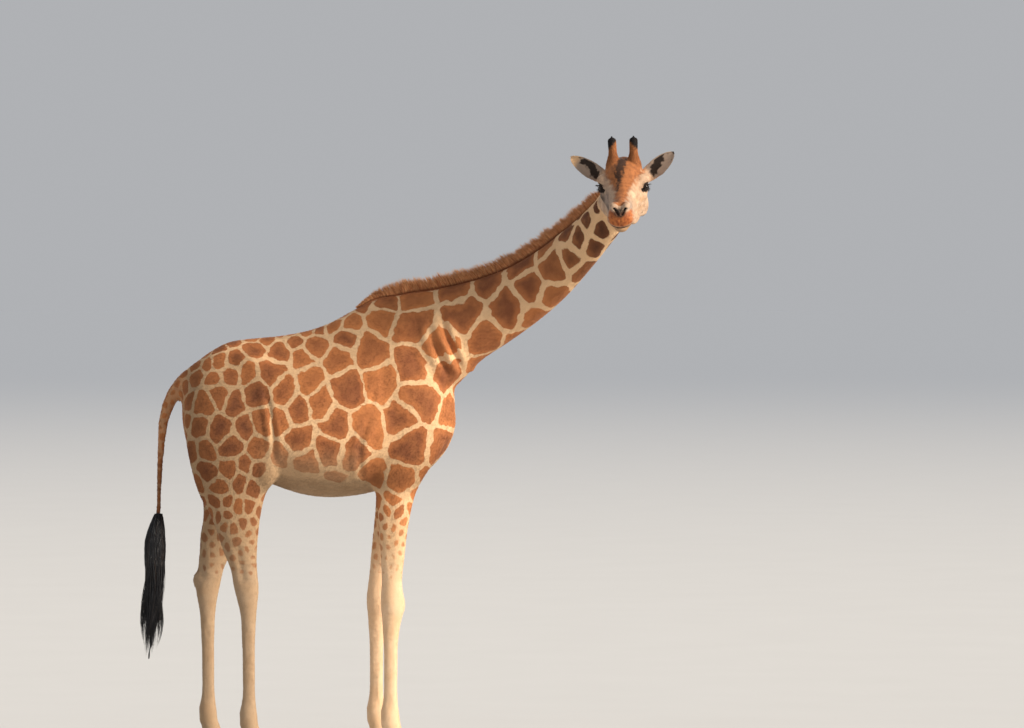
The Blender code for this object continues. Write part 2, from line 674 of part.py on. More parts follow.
def main():
    for old in list(bpy.data.objects):
        bpy.data.objects.remove(old)
    materials = {name: finish(name, *values) for name, values in FINISHES.items()}
    painted = {}

    whole_body = body()
    whole_head = head()

    # what lies on the skin is cut back to it before the skin itself is parted
    body_cutter = swollen_copy(whole_body, "body_cutter")
    head_cutter = swollen_copy(whole_head, "head_cutter")
    mane = swept_object("mane", mane_stations(), (0, 0, 1), 28, 6)
    subtract(mane, body_cutter)
    subtract(mane, head_cutter)
    tail = swept_object("tail", TAIL, (-1, 0, 0), 16, 8)
    subtract(tail, body_cutter)
    tuft = swept_object("tail_tuft", TUFT, (-1, 0, 0), 16, 8)
    painted.update({mane: "mane_hair", tail: "coat", tuft: "black_hair"})
    for side_name, side in (("right", -1), ("left", 1)):
        blade = ear("ear_" + side_name, side_name, side)
        subtract(blade, head_cutter)
        painted[blade] = "pale_coat"
    for obj in painted:
        keep_largest(apply_modifiers(obj))

    # eye sockets
    for side_name, side in (("right", -1), ("left", 1)):
        socket = as_cutter(eyeball("socket_" + side_name, side, EYE_RADIUS + EYE_GAP))
        subtract(whole_head, socket)
        ball = eyeball("eye_" + side_name, side, EYE_RADIUS)
        painted[ball] = "eye_gloss"
    apply_modifiers(whole_head)
    for side_name in ("right", "left"):
        bpy.data.objects.remove(bpy.data.objects["socket_" + side_name])

    head_centre, head_normal = neck_cut(-2)
    middle_centre, middle_normal = neck_cut(5)
    rest, neck = split(whole_body, NECK_BASE, NECK_BASE_NORMAL, "rest", "neck")
    lower, upper = split(neck, middle_centre, middle_normal, "neck_lower", "upper")
    upper, waste = split(upper, head_centre, head_normal, "neck_upper", "waste")
    bpy.data.objects.remove(waste)
    trunk, legs = split(rest, (0, 0, LEG_TOP), (0, 0, -1), "trunk", "legs")
    painted.update({lower: "coat", upper: "coat", trunk: "coat"})
    hind, fore = split(legs, (BETWEEN_LEGS, 0, 0), (1, 0, 0), "hind", "fore")
    for legs, pair, joint in (("foreleg", fore, KNEE_HEIGHT), ("hindleg", hind, HOCK_HEIGHT)):
        for leg, side_name in zip(split(pair, (0, 0, 0), (0, 1, 0), "r", "l"), ("right", "left")):
            name = f"{legs}_{side_name}"
            top, bottom = split(leg, (0, 0, joint), (0, 0, -1), name + "_upper", "bottom")
            bottom, waste = split(
                bottom, (0, 0, CORONET_HEIGHT), (0, 0, -1), name + "_lower", "waste"
            )
            bpy.data.objects.remove(waste)
            painted.update({top: "coat", bottom: "pale_coat"})

    waste, skull = split(whole_head, head_centre, head_normal, "waste", "skull")
    bpy.data.objects.remove(waste)
    horn_up = HORN_TIP - HORN_ROOT
    horn_place = HEAD @ HORN_ROOT.lerp(HORN_TIP, HORN_CUT)
    horn_normal = HEAD.to_3x3() @ Vector((horn_up.x, 0, horn_up.z))
    skull, horns = split(skull, horn_place, horn_normal, "head", "horns")
    painted[skull] = "pale_coat"
    left = HEAD.to_3x3() @ Vector((0, 1, 0))
    for horn in split(horns, HEAD_MIDDLE, left, "ossicone_right", "ossicone_left"):
        painted[keep_largest(horn)] = "coat"
    for cutter in (body_cutter, head_cutter):
        bpy.data.objects.remove(cutter)

    for side in ("right", "left"):
        for legs, feet, size in (("fore", FORE_FEET, 1.0), ("hind", HIND_FEET, 0.93)):
            for claw, direction in (("outer", 1), ("inner", -1)):
                outward = direction * (1 if feet[side][1] > 0 else -1)
                name = f"hoof_{legs}_{side}_{claw}"
                painted[hoof_claw(name, feet[side], outward, size)] = "hoof_horn"

    for obj, finish_name in painted.items():
        paint(obj, finish_name, materials)

    # the origin is the middle of the model's box, on the ground
    corners = np.array([vert.co[:] for obj in painted for vert in obj.data.vertices])
    middle = (corners.min(0) + corners.max(0)) / 2
    shift = Vector((-middle[0], -middle[1], -corners[:, 2].min()))
    for obj in painted:
        obj.data.transform(Matrix.Translation(shift))
    print("moved by", tuple(round(value, 5) for value in shift), "triangles by piece:")
    for obj in painted:
        print("  ", obj.name, sum(len(face.vertices) - 2 for face in obj.data.polygons))


main()
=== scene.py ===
"""The looks of a life-size giraffe: skin, coat, mane, tail hair, eyes, horns and hooves over its solids.

Shapes are worked out in the animal's own frame, in metres: X = 0 under the withers with the trunk along +X,
Y = 0 the middle of the trunk with +Y to its left, Z = 0 the ground. Each mesh is then set down where the
packed hooves stand.
"""

import json
from contextlib import contextmanager

import bmesh
import bpy
import numpy as np
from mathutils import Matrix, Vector
from mathutils.kdtree import KDTree

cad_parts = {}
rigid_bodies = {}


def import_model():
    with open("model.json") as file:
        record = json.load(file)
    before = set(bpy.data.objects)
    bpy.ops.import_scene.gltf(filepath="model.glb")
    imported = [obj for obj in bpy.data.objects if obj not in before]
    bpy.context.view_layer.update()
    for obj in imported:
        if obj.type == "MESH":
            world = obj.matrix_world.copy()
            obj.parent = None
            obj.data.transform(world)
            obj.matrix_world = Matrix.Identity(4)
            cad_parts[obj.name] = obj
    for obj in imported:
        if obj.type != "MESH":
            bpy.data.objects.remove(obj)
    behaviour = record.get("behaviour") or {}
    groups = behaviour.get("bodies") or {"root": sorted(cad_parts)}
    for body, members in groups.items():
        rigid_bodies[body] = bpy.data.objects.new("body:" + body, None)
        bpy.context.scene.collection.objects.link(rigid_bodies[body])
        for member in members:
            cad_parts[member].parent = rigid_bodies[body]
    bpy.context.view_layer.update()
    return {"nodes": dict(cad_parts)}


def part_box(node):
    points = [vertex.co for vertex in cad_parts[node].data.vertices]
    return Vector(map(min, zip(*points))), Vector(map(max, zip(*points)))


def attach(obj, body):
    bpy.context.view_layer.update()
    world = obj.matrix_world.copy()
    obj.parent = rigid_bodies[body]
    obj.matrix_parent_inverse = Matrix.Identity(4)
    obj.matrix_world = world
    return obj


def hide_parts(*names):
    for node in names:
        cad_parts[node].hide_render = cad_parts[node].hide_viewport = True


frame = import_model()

outer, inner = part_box("hoof_fore_right_outer"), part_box("hoof_fore_right_inner")
HEEL_X, SPLIT_Y = -0.120, -0.190  # this hoof's heel and the split between its claws, in the animal's frame
HOME = np.array([outer[0].x - HEEL_X, (outer[1].y + inner[0].y) / 2 - SPLIT_Y, 0.0])  # where that frame lies

# -------------------------------------------------------------------------------- trunk, neck and legs
# The flesh of the animal: a deep narrow chest, a back that slopes from high withers to the rump, and a neck
# that reaches forward and bends to the right. Each form is an oval profile carried along a line of stations,
# and all of them are melted into one closed skin.


def smooth_rows(rows, count):
    """Rows of numbers read at count even places along a Hermite curve through them. The first three numbers
    of a row are its place."""
    rows = np.asarray(rows, float)
    at = np.concatenate([[0], np.cumsum(np.linalg.norm(np.diff(rows[:, :3], axis=0), axis=1))])
    slopes = np.gradient(rows, at, axis=0)
    s = np.linspace(0, at[-1], count)
    i = np.clip(np.searchsorted(at, s) - 1, 0, len(at) - 2)
    span = (at[i + 1] - at[i])[:, None]
    t = (s - at[i])[:, None] / span
    return (
        (2 * t**3 - 3 * t**2 + 1) * rows[i]
        + (t**3 - 2 * t**2 + t) * span * slopes[i]
        + (3 * t**2 - 2 * t**3) * rows[i + 1]
        + (t**3 - t**2) * span * slopes[i + 1]
    )


def unit(vectors):
    """Each row divided by its own length."""
    return vectors / np.maximum(np.linalg.norm(vectors, axis=-1, keepdims=True), 1e-12)


def bell(value, middle, width):
    """exp(-((value - middle) / width)^2), which is 1 at the middle."""
    return np.exp(-(((value - middle) / width) ** 2))


def spun(first, second, angle):
    """Two directions square to each other, turned by an angle from the first towards the second."""
    return first * np.cos(angle) + second * np.sin(angle), second * np.cos(angle) - first * np.sin(angle)


def tube_quads(rings, corners):
    """The quads of a grid of rings, each of which closes on itself."""
    k = np.arange(corners)
    n = (k + 1) % corners
    first = np.arange(rings - 1)[:, None] * corners
    return np.stack([first + k, first + n, first + corners + n, first + corners + k], -1).reshape(-1, 4)


def tube_faces(rings, corners):
    """The quads of a grid of rings, and the triangles of two fans that shut its ends round two more
    points."""
    k = np.arange(corners)
    n = (k + 1) % corners
    last, near, far = (rings - 1) * corners, rings * corners, rings * corners + 1
    fans = [np.stack([np.full(corners, near), n, k], -1),
            np.stack([np.full(corners, far), last + k, last + n], -1)]
    return tube_quads(rings, corners).tolist() + np.concatenate(fans).tolist()


def carried(stations, dorsal, rings, corners, upright=False):
    """An oval carried along a path. A station is x, y, z, half side, up, down, taper. At angle a of a ring
    the point is centre + side * half * cos(a) * (1 - taper * sin(a)) + up * depth * sin(a), the depth being
    the upper one where sin(a) is positive. The ovals stand square to the path, or across X when upright."""
    rows = smooth_rows(stations, rings)
    along = unit(np.gradient(rows[:, :3], axis=0))
    if upright:
        along = np.tile([1.0, 0.0, 0.0], (rings, 1))
    side = unit(np.cross(np.asarray(dorsal, float), along))
    up = np.cross(along, side)
    angle = 2 * np.pi * np.arange(corners) / corners
    height = np.sin(angle)[None]
    width = rows[:, 3:4] * np.cos(angle) * (1 - rows[:, 6:7] * height)
    depth = height * np.where(height > 0, rows[:, 4:5], rows[:, 5:6])
    grid = rows[:, None, :3] + side[:, None] * width[..., None] + up[:, None] * depth[..., None]
    return np.concatenate([grid.reshape(-1, 3), rows[[0, -1], :3]]), tube_faces(rings, corners)


def swelling(centre, radii):
    """A closed ellipsoid on a grid of 14 rings of 18: centre + radii * (sin u cos v, sin u sin v, cos u)."""
    u = np.linspace(0, np.pi, 16)[1:-1, None]
    v = np.linspace(0, 2 * np.pi, 18, endpoint=False)
    ball = np.stack([np.sin(u) * np.cos(v), np.sin(u) * np.sin(v), np.cos(u) + 0 * v], -1)
    points = np.concatenate([ball.reshape(-1, 3), [[0, 0, 1], [0, 0, -1]]])
    return np.asarray(centre) + points * radii, tube_faces(14, 18)


def moulded(name, points, faces):
    """A mesh object of these points and faces."""
    mesh = bpy.data.meshes.new(name)
    mesh.from_pydata(points, [], faces)
    mesh.validate()
    piece = bpy.data.objects.new(name, mesh)
    bpy.context.scene.collection.objects.link(piece)
    return piece


def gathered(forms):
    """Several closed forms as the points and faces of one."""
    points, faces, count = [], [], 0
    for form_points, form_faces in forms:
        points.append(form_points)
        faces += [[corner + count for corner in face] for face in form_faces]
        count += len(form_points)
    return np.concatenate(points), faces


def with_modifiers(piece):
    """The mesh that the piece's modifiers give, kept in place of its own."""
    bpy.context.view_layer.update()
    mesh = bpy.data.meshes.new_from_object(piece.evaluated_get(bpy.context.evaluated_depsgraph_get()))
    piece.modifiers.clear()
    piece.data = mesh
    return piece


def rows_of(members, key, width, kind=np.int32):
    """One property of all the members of a mesh's list, a row of that width for each."""
    flat = np.empty(len(members) * width, kind)
    members.foreach_get(key, flat)
    return flat.reshape(-1, width)


def places(mesh):
    """The mesh's vertices as an array."""
    return rows_of(mesh.vertices, "co", 3, np.float32).astype(float)


def normals(mesh):
    """The unit normals of the mesh's vertices."""
    return rows_of(mesh.vertex_normals, "vector", 3, np.float32).astype(float)


def moved(mesh, points):
    """Sets the mesh's vertices."""
    mesh.vertices.foreach_set("co", np.asarray(points, np.float32).ravel())
    mesh.update()


def eased(mesh, points, share, passes):
    """Each point drawn by its share towards the mean of its neighbours, so many times."""
    ends = rows_of(mesh.edges, "vertices", 2)
    a, b = ends.T
    degree = np.maximum(np.bincount(ends.ravel(), minlength=len(points)), 1)[:, None]
    share = np.broadcast_to(np.asarray(share, float).reshape(-1, 1), (len(points), 1))
    for _ in range(passes):
        total = np.stack([
            np.bincount(a, points[b, k], len(points)) + np.bincount(b, points[a, k], len(points))
            for k in range(3)
        ], -1)
        points = points + share * (total / degree - points)
    return points


def regridded(piece, voxel):
    """The piece skinned anew with even faces of about that size."""
    remesh = piece.modifiers.new("melt", "REMESH")
    remesh.mode, remesh.voxel_size = "VOXEL", voxel
    return with_modifiers(piece)


@contextmanager
def edited(piece):
    """The piece's mesh opened for editing, and set back when that is done."""
    bm = bmesh.new()
    bm.from_mesh(piece.data)
    yield bm
    bm.to_mesh(piece.data)
    bm.free()


def righted(piece):
    """The piece with all its faces pointing out, smooth."""
    with edited(piece) as bm:
        bmesh.ops.recalc_face_normals(bm, faces=bm.faces)
    piece.data.shade_smooth()
    return piece


def melted(name, forms, voxel):
    """Overlapping closed forms joined into one closed skin of even small faces."""
    return regridded(righted(moulded(name, *gathered(forms))), voxel)


def thinned(piece, triangles):
    """Edges collapsed until about so many triangles are left, more of them where the form bends."""
    count = sum(len(face.vertices) - 2 for face in piece.data.polygons)
    collapse = piece.modifiers.new("thin", "DECIMATE")
    collapse.ratio = min(1.0, triangles / count)
    return with_modifiers(piece)


# x, height of back, height of belly, half width, draw-in towards the back
TRUNK = np.array([
    (-1.286, 2.150, 1.960, 0.080, 0.0), (-1.262, 2.235, 1.830, 0.140, 0.05),
    (-1.200, 2.318, 1.740, 0.185, 0.10), (-1.120, 2.380, 1.700, 0.215, 0.16),
    (-1.020, 2.434, 1.670, 0.236, 0.22), (-0.900, 2.456, 1.640, 0.246, 0.28),
    (-0.740, 2.471, 1.580, 0.262, 0.32), (-0.560, 2.502, 1.522, 0.290, 0.34),
    (-0.420, 2.549, 1.508, 0.300, 0.36), (-0.320, 2.603, 1.512, 0.298, 0.40),
    (-0.200, 2.668, 1.530, 0.284, 0.44), (-0.080, 2.708, 1.560, 0.262, 0.46),
    (0.020, 2.712, 1.590, 0.240, 0.44), (0.130, 2.640, 1.640, 0.214, 0.40),
    (0.230, 2.440, 1.730, 0.180, 0.25), (0.300, 2.230, 1.830, 0.120, 0.10), (0.328, 2.120, 1.900, 0.060, 0.0),
])
x, back, belly, half, taper = TRUNK.T
middle = belly + 0.46 * (back - belly)
trunk_path = np.stack([x, 0 * x, middle, half, back - middle, middle - belly, taper], -1)

# x, y, z, half width, depth up, depth down, taper
NECK = np.array([
    (-0.060, 0.000, 2.350, 0.150, 0.300, 0.320, 0.35), (0.159, 0.000, 2.431, 0.190, 0.318, 0.322, 0.35),
    (0.360, -0.035, 2.531, 0.165, 0.250, 0.252, 0.30), (0.555, -0.098, 2.620, 0.143, 0.212, 0.215, 0.25),
    (0.723, -0.184, 2.714, 0.125, 0.188, 0.190, 0.22), (0.867, -0.284, 2.820, 0.113, 0.172, 0.174, 0.20),
    (0.985, -0.390, 2.929, 0.104, 0.156, 0.160, 0.16), (1.112, -0.531, 3.059, 0.097, 0.136, 0.142, 0.12),
    (1.225, -0.680, 3.195, 0.092, 0.120, 0.130, 0.06), (1.300, -0.765, 3.310, 0.088, 0.098, 0.110, 0.0),
])


def even_ovals(rows):
    """Stations given as x, y, z, half width and half depth, which is the same up and down, with no taper."""
    x, y, z, half, depth = np.array(rows).T
    return np.stack([x, y, z, half, depth, depth, 0 * x], -1)


# x, y, z, half width, half depth
TAIL = even_ovals([
    (-1.100, 0.000, 2.285, 0.060, 0.070), (-1.205, 0.000, 2.248, 0.056, 0.062),
    (-1.290, 0.000, 2.178, 0.048, 0.052), (-1.352, -0.005, 2.090, 0.040, 0.044),
    (-1.390, -0.010, 1.980, 0.034, 0.036), (-1.406, -0.015, 1.840, 0.028, 0.029),
    (-1.418, -0.020, 1.640, 0.023, 0.023), (-1.424, -0.020, 1.400, 0.021, 0.021),
])

# height, forward of the foot, half front to back, half side to side, inward of the foot
FORELEG = (
    (2.520, -0.010, 0.100, 0.030, 0.085), (2.300, 0.030, 0.180, 0.075, 0.045),
    (2.050, 0.096, 0.215, 0.100, 0.015), (1.880, 0.092, 0.222, 0.102, 0.010),
    (1.740, 0.046, 0.186, 0.096, 0.012), (1.620, 0.018, 0.150, 0.088, 0.016),
    (1.500, 0.008, 0.118, 0.079, 0.020), (1.380, 0.000, 0.100, 0.072, 0.026),
    (1.180, -0.006, 0.078, 0.061, 0.032), (1.000, -0.010, 0.067, 0.056, 0.034),
    (0.930, -0.008, 0.074, 0.064, 0.034), (0.870, -0.006, 0.075, 0.067, 0.032),
    (0.790, -0.012, 0.062, 0.055, 0.028), (0.680, -0.016, 0.050, 0.045, 0.022),
    (0.500, -0.017, 0.046, 0.042, 0.014), (0.320, -0.018, 0.049, 0.045, 0.008),
    (0.225, -0.020, 0.062, 0.057, 0.004), (0.170, -0.012, 0.060, 0.056, 0.002),
    (0.120, 0.004, 0.062, 0.060, 0.0), (0.050, 0.010, 0.056, 0.054, 0.0),
)
HINDLEG = (
    (2.260, -0.150, 0.160, 0.050, 0.070), (2.080, -0.150, 0.245, 0.105, 0.045),
    (1.900, -0.130, 0.272, 0.125, 0.030), (1.720, -0.122, 0.252, 0.120, 0.026),
    (1.560, -0.112, 0.214, 0.106, 0.030), (1.400, -0.092, 0.152, 0.086, 0.034),
    (1.240, -0.074, 0.114, 0.069, 0.034), (1.100, -0.050, 0.084, 0.056, 0.030),
    (1.010, -0.038, 0.080, 0.054, 0.028), (0.940, -0.030, 0.072, 0.055, 0.026),
    (0.850, -0.024, 0.056, 0.048, 0.022), (0.700, -0.022, 0.046, 0.040, 0.016),
    (0.500, -0.020, 0.043, 0.038, 0.010), (0.320, -0.020, 0.046, 0.041, 0.006),
    (0.225, -0.022, 0.059, 0.053, 0.003), (0.170, -0.014, 0.056, 0.052, 0.001),
    (0.120, 0.002, 0.059, 0.056, 0.0), (0.050, 0.008, 0.052, 0.050, 0.0),
)
FORE_FEET = ((-0.035, -0.19), (-0.125, 0.19))  # right, left
HIND_FEET = ((-0.865, -0.19), (-1.120, 0.19))


def leg_path(profile, foot, hip_x):
    """A leg's stations over its foot, easing across to the hip's place between 0.87 and 1.69 m up."""
    height, forward, depth, width, inward = np.array(profile).T
    swing = np.clip((1.69 - height) / 0.82, 0, 1)
    swing = swing * swing * (3 - 2 * swing)
    x = hip_x + (foot[0] - hip_x) * swing + forward
    return even_ovals(np.stack([x, foot[1] - np.sign(foot[1]) * inward, height, width, depth], -1))


forms = [carried(trunk_path, (0, 0, 1), 90, 56, upright=True), carried(NECK, (0, 0, 1), 90, 48),
         carried(TAIL, (-1, 0, 0), 70, 18)]
for fore, hind in zip(FORE_FEET, HIND_FEET):
    outward = np.sign(fore[1])
    forms += [carried(leg_path(FORELEG, fore, FORE_FEET[0][0]), (1, 0, 0), 130, 32),
              carried(leg_path(HINDLEG, hind, HIND_FEET[0][0]), (1, 0, 0), 130, 32)]
    for x, y in (fore, hind):
        forms += [swelling((x - 0.062, y + 0.024 * claw, 0.185), (0.022, 0.018, 0.026)) for claw in (-1, 1)]
        forms.append(swelling((x - 0.042, y, 0.094), (0.038, 0.052, 0.036)))  # the heel
    forms.append(swelling((hind[0] - 0.088, hind[1] - 0.026 * outward, 1.015), (0.034, 0.024, 0.055)))
    for (x, y, z), radii in (
        ((-0.150, 0.175, 1.700), (0.060, 0.050, 0.085)),  # elbow
        ((0.195, 0.110, 1.965), (0.145, 0.105, 0.170)),  # point of the shoulder
        ((0.020, 0.100, 2.380), (0.120, 0.080, 0.230)),  # shoulder blade
        ((-0.790, 0.195, 1.690), (0.085, 0.080, 0.130)),  # stifle
        ((-1.190, 0.085, 2.100), (0.085, 0.070, 0.120)),  # pin bone
        ((-0.865, 0.120, 2.310), (0.130, 0.070, 0.070)),  # hip bone
    ):
        forms.append(swelling((x, y * outward, z), radii))

# the forms are melted at the first grain, eased until they run into each other, and kept at the second grain
MELT_GRAIN, SKIN_GRAIN, EASINGS = ((0.0085, 0.0134, 50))
trunk_skin = melted("trunk_skin", forms, MELT_GRAIN)
points = places(trunk_skin.data)
above_legs = np.clip((points[:, 2] - 1.15) / 0.35, 0, 1)
behind_head = np.clip((1.05 - points[:, 0]) / 0.35, 0, 1)
on_tail = np.clip((-1.27 - points[:, 0]) / 0.05, 0, 1)
share = (0.08 + 0.52 * above_legs * behind_head) * (1 - 0.85 * on_tail)
points = eased(trunk_skin.data, points, share, EASINGS)
moved(trunk_skin.data, points)


def near_line(points, start, end, width):
    """How near each point is to the straight line between two places, 1 on it and falling off as
    exp(-(distance / width)^2), and its share of the way along."""
    start, end = np.asarray(start, float), np.asarray(end, float)
    along = end - start
    t = np.clip((points - start) @ along / (along @ along), 0, 1)
    gap = np.linalg.norm(points - (start + t[:, None] * along), axis=1)
    return bell(gap, 0, width), t


def furrow(points, path, width, depth, lip=0.35):
    """A skin fold along a path of places: a groove of that depth and half width, with a soft lip on either
    side, that runs out at both ends. Gives how far each point sinks."""
    path = smooth_rows(np.asarray(path, float), 24)
    gap = np.full(len(points), 9.0)
    where = np.zeros(len(points))
    for i in range(len(path)):
        d = np.linalg.norm(points - path[i], axis=1)
        nearer = d < gap
        gap[nearer], where[nearer] = d[nearer], i / (len(path) - 1)
    ends = np.sin(np.pi * np.clip(where, 0.02, 0.98)) ** 0.6
    return depth * ends * (bell(gap, 0, width) - lip * bell(gap, 2.1 * width, width))


# folds: path, half width, depth. First three slanting ones on the neck's bent side, at the shoulder
NECK_FOLDS = [
    (((0.150, -0.175, 2.600), (0.190, -0.215, 2.470), (0.262, -0.212, 2.310),
      (0.318, -0.160, 2.150)), 0.021, 0.040),
    (((0.238, -0.160, 2.620), (0.272, -0.205, 2.490), (0.340, -0.200, 2.330),
      (0.392, -0.140, 2.220)), 0.018, 0.032),
    (((0.100, -0.200, 2.470), (0.140, -0.232, 2.350), (0.196, -0.228, 2.230)), 0.017, 0.021),
]
# behind the shoulder, at the armpit, and two at the flank, on the left side
LEFT_FOLDS = [
    (((-0.150, 0.225, 2.330), (-0.140, 0.262, 2.200), (-0.160, 0.280, 2.060)), 0.012, 0.013),
    (((-0.175, 0.285, 1.985), (-0.215, 0.290, 1.880), (-0.235, 0.275, 1.760),
      (-0.225, 0.240, 1.660)), 0.018, 0.026),
    (((-0.790, 0.215, 2.160), (-0.755, 0.262, 2.020), (-0.735, 0.275, 1.880),
      (-0.730, 0.262, 1.740)), 0.014, 0.020),
    (((-0.830, 0.255, 2.060), (-0.800, 0.280, 1.930), (-0.800, 0.285, 1.800)), 0.014, 0.009),
]
SIDE_FOLDS = [(np.array(path) * (1, side, 1), width, depth)
              for side in (-1, 1) for path, width, depth in LEFT_FOLDS]
sink = np.zeros(len(points))
for path, width, depth in NECK_FOLDS + SIDE_FOLDS:
    sink += furrow(points, path, width, depth)


def at_foot(foot, ahead, beside, inward, up):
    """A place measured from a foot: ahead of it, to its left, in towards the animal's middle, and up."""
    return foot[0] + ahead, foot[1] + beside - inward * np.sign(foot[1]), up


# grooves and, below 0, ridges of the legs: feet, start and end measured from the foot, half width, depth
ALL_FEET = FORE_FEET + HIND_FEET
LEG_LINES = [
    (ALL_FEET, (-0.078, 0, 0.012, 0.75), (-0.074, 0, 0, 0.26), 0.016, -0.004),  # tendon
    (FORE_FEET, (0.066, 0, 0.033, 0.905), (0.064, 0, 0.033, 0.875), 0.028, -0.006),  # knee
]
for s in (-1, 1):  # beside the tendon, over the hock, and down the forearm
    LEG_LINES += [
        (ALL_FEET, (-0.024, s * 0.045, 0.012, 0.72), (-0.028, s * 0.045, 0, 0.30), 0.016, 0.006),
        (HIND_FEET, (-0.085, s * 0.050, 0.026, 1.22), (-0.055, s * 0.050, 0.026, 1.04), 0.024, 0.010),
        (FORE_FEET, (-0.020, s * 0.085, 0.020, 1.52), (-0.020, s * 0.062, 0.030, 1.10), 0.022, 0.006),
    ]
for feet, start, end, width, depth in LEG_LINES:
    for foot in feet:
        sink += depth * near_line(points, at_foot(foot, *start), at_foot(foot, *end), width)[0]
wart, _ = near_line(points, (0.432, -0.045, 2.286), (0.425, -0.050, 2.268), 0.016)  # under the neck
sink -= 0.016 * wart
COAT = 0.0055  # how far the skin lies inside the tips of the coat
points -= normals(trunk_skin.data) * (sink + COAT)[:, None]
moved(trunk_skin.data, points)
regridded(trunk_skin, SKIN_GRAIN)

# --------------------------------------------------------------------------------------- head and ears
# A long tapering head, broad over the eyes and heavy in the jaw, with heavy lids, two slit nostrils and a
# thick upper lip. The ears are leaf-shaped cups that grow out of it. It is melted at a finer grain than the
# body, its small forms are raised and sunk along its own normals, and it is then knitted to the neck.

MIDDLE = np.array([1.305, -0.870, 3.333])  # between the eyes
pitch, turned, rolled = np.radians([24, 4.5, 1.5])
ahead = np.array([-np.sin(turned) * np.cos(pitch), -np.cos(turned) * np.cos(pitch), -np.sin(pitch)])
left = np.array([np.cos(turned), -np.sin(turned), 0.0])
above = np.cross(ahead, left)
left, above = spun(left, above, rolled)
HEAD = np.stack([ahead, left, above])  # rows: towards the muzzle, to the animal's left, up through the horns


def on_head(points):
    """Places given ahead of the eyes, to the left and up, in the animal's frame."""
    return MIDDLE + np.asarray(points) @ HEAD


def from_head(points):
    """Places of the animal's frame given ahead of the eyes, to the left and up."""
    return (np.asarray(points) - MIDDLE) @ HEAD.T


# ahead, top, bottom, half width, draw-in towards the top
SKULL = np.array([
    (-0.210, 0.080, -0.050, 0.050, 0.0), (-0.180, 0.124, -0.100, 0.090, 0.08),
    (-0.125, 0.150, -0.148, 0.120, 0.16), (-0.060, 0.146, -0.172, 0.133, 0.16),
    (0.000, 0.120, -0.174, 0.132, 0.12), (0.060, 0.094, -0.166, 0.118, 0.10),
    (0.120, 0.074, -0.148, 0.099, 0.08), (0.180, 0.060, -0.128, 0.083, 0.06),
    (0.240, 0.054, -0.112, 0.075, 0.08), (0.290, 0.054, -0.106, 0.076, 0.14),
    (0.330, 0.047, -0.100, 0.079, 0.20), (0.362, 0.026, -0.086, 0.064, 0.22),
    (0.380, 0.002, -0.062, 0.036, 0.15),
])
f, top, bottom, half, taper = SKULL.T
skull_path = np.stack([f, 0 * f, (top + bottom) / 2, half, (top - bottom) / 2, (top - bottom) / 2, taper], -1)
# the lower jaw, one tapering bar from under the cheeks to the chin
JAW = np.array([
    (-0.110, 0, -0.110, 0.092, 0.050, 0.050, 0.1), (-0.040, 0, -0.118, 0.112, 0.060, 0.062, 0.1),
    (0.040, 0, -0.116, 0.103, 0.055, 0.054, 0.1), (0.120, 0, -0.110, 0.090, 0.050, 0.046, 0.1),
    (0.200, 0, -0.102, 0.072, 0.042, 0.034, 0.0), (0.270, 0, -0.096, 0.056, 0.036, 0.030, 0.0),
    (0.330, 0, -0.095, 0.046, 0.030, 0.033, 0.0), (0.356, 0, -0.095, 0.026, 0.016, 0.018, 0.0),
])
HORN_ROOT, HORN_TIP = np.array([-0.088, 0.058, 0.100]), np.array([-0.128, 0.063, 0.270])
# share of the way up the horn, radius
HORN = np.array([(-0.2, 0.060), (0.1, 0.046), (0.22, 0.037), (0.38, 0.0295), (0.6, 0.0255), (0.83, 0.0245),
                 (0.95, 0.019), (1.0, 0.009)])
EYE, EYE_RADIUS = np.array([0.008, 0.117, 0.010]), 0.027
ALMOND, UPPER_LID, LOWER_LID = 0.0262, 0.0165, 0.0140  # the open eye's half length, and its heights
EAR_ROOT, EAR_HALF_WIDTH = np.array([-0.150, 0.104, -0.007]), 0.057
EAR_TIPS = {-1: np.array([-0.150, 0.310, 0.142]), 1: np.array([-0.165, 0.289, 0.149])}
EAR_WAY = unit(EAR_TIPS[-1] - EAR_ROOT)


def horn_places(share, side):
    """The places at these shares of the way up the middle of one horn."""
    return (HORN_ROOT + share[:, None] * (HORN_TIP - HORN_ROOT)) * (1, side, 1)


def horn_stump(side):
    """The stations of the lower end of one horn, from inside the skull to 0.3 of its height."""
    share = np.linspace(-0.2, 0.30, 12)
    radius = np.interp(share, *HORN.T)[:, None]
    return even_ovals(np.hstack([horn_places(share, side), radius, radius]))


def leaf_width(s):
    """The half width of an ear at share s of the way to its tip."""
    full = 0.6 + 0.4 * np.sin(np.pi / 2 * np.minimum(1, (s + 0.05) / 0.4))
    return EAR_HALF_WIDTH * full * (1 - 0.995 * s**4) ** 0.7


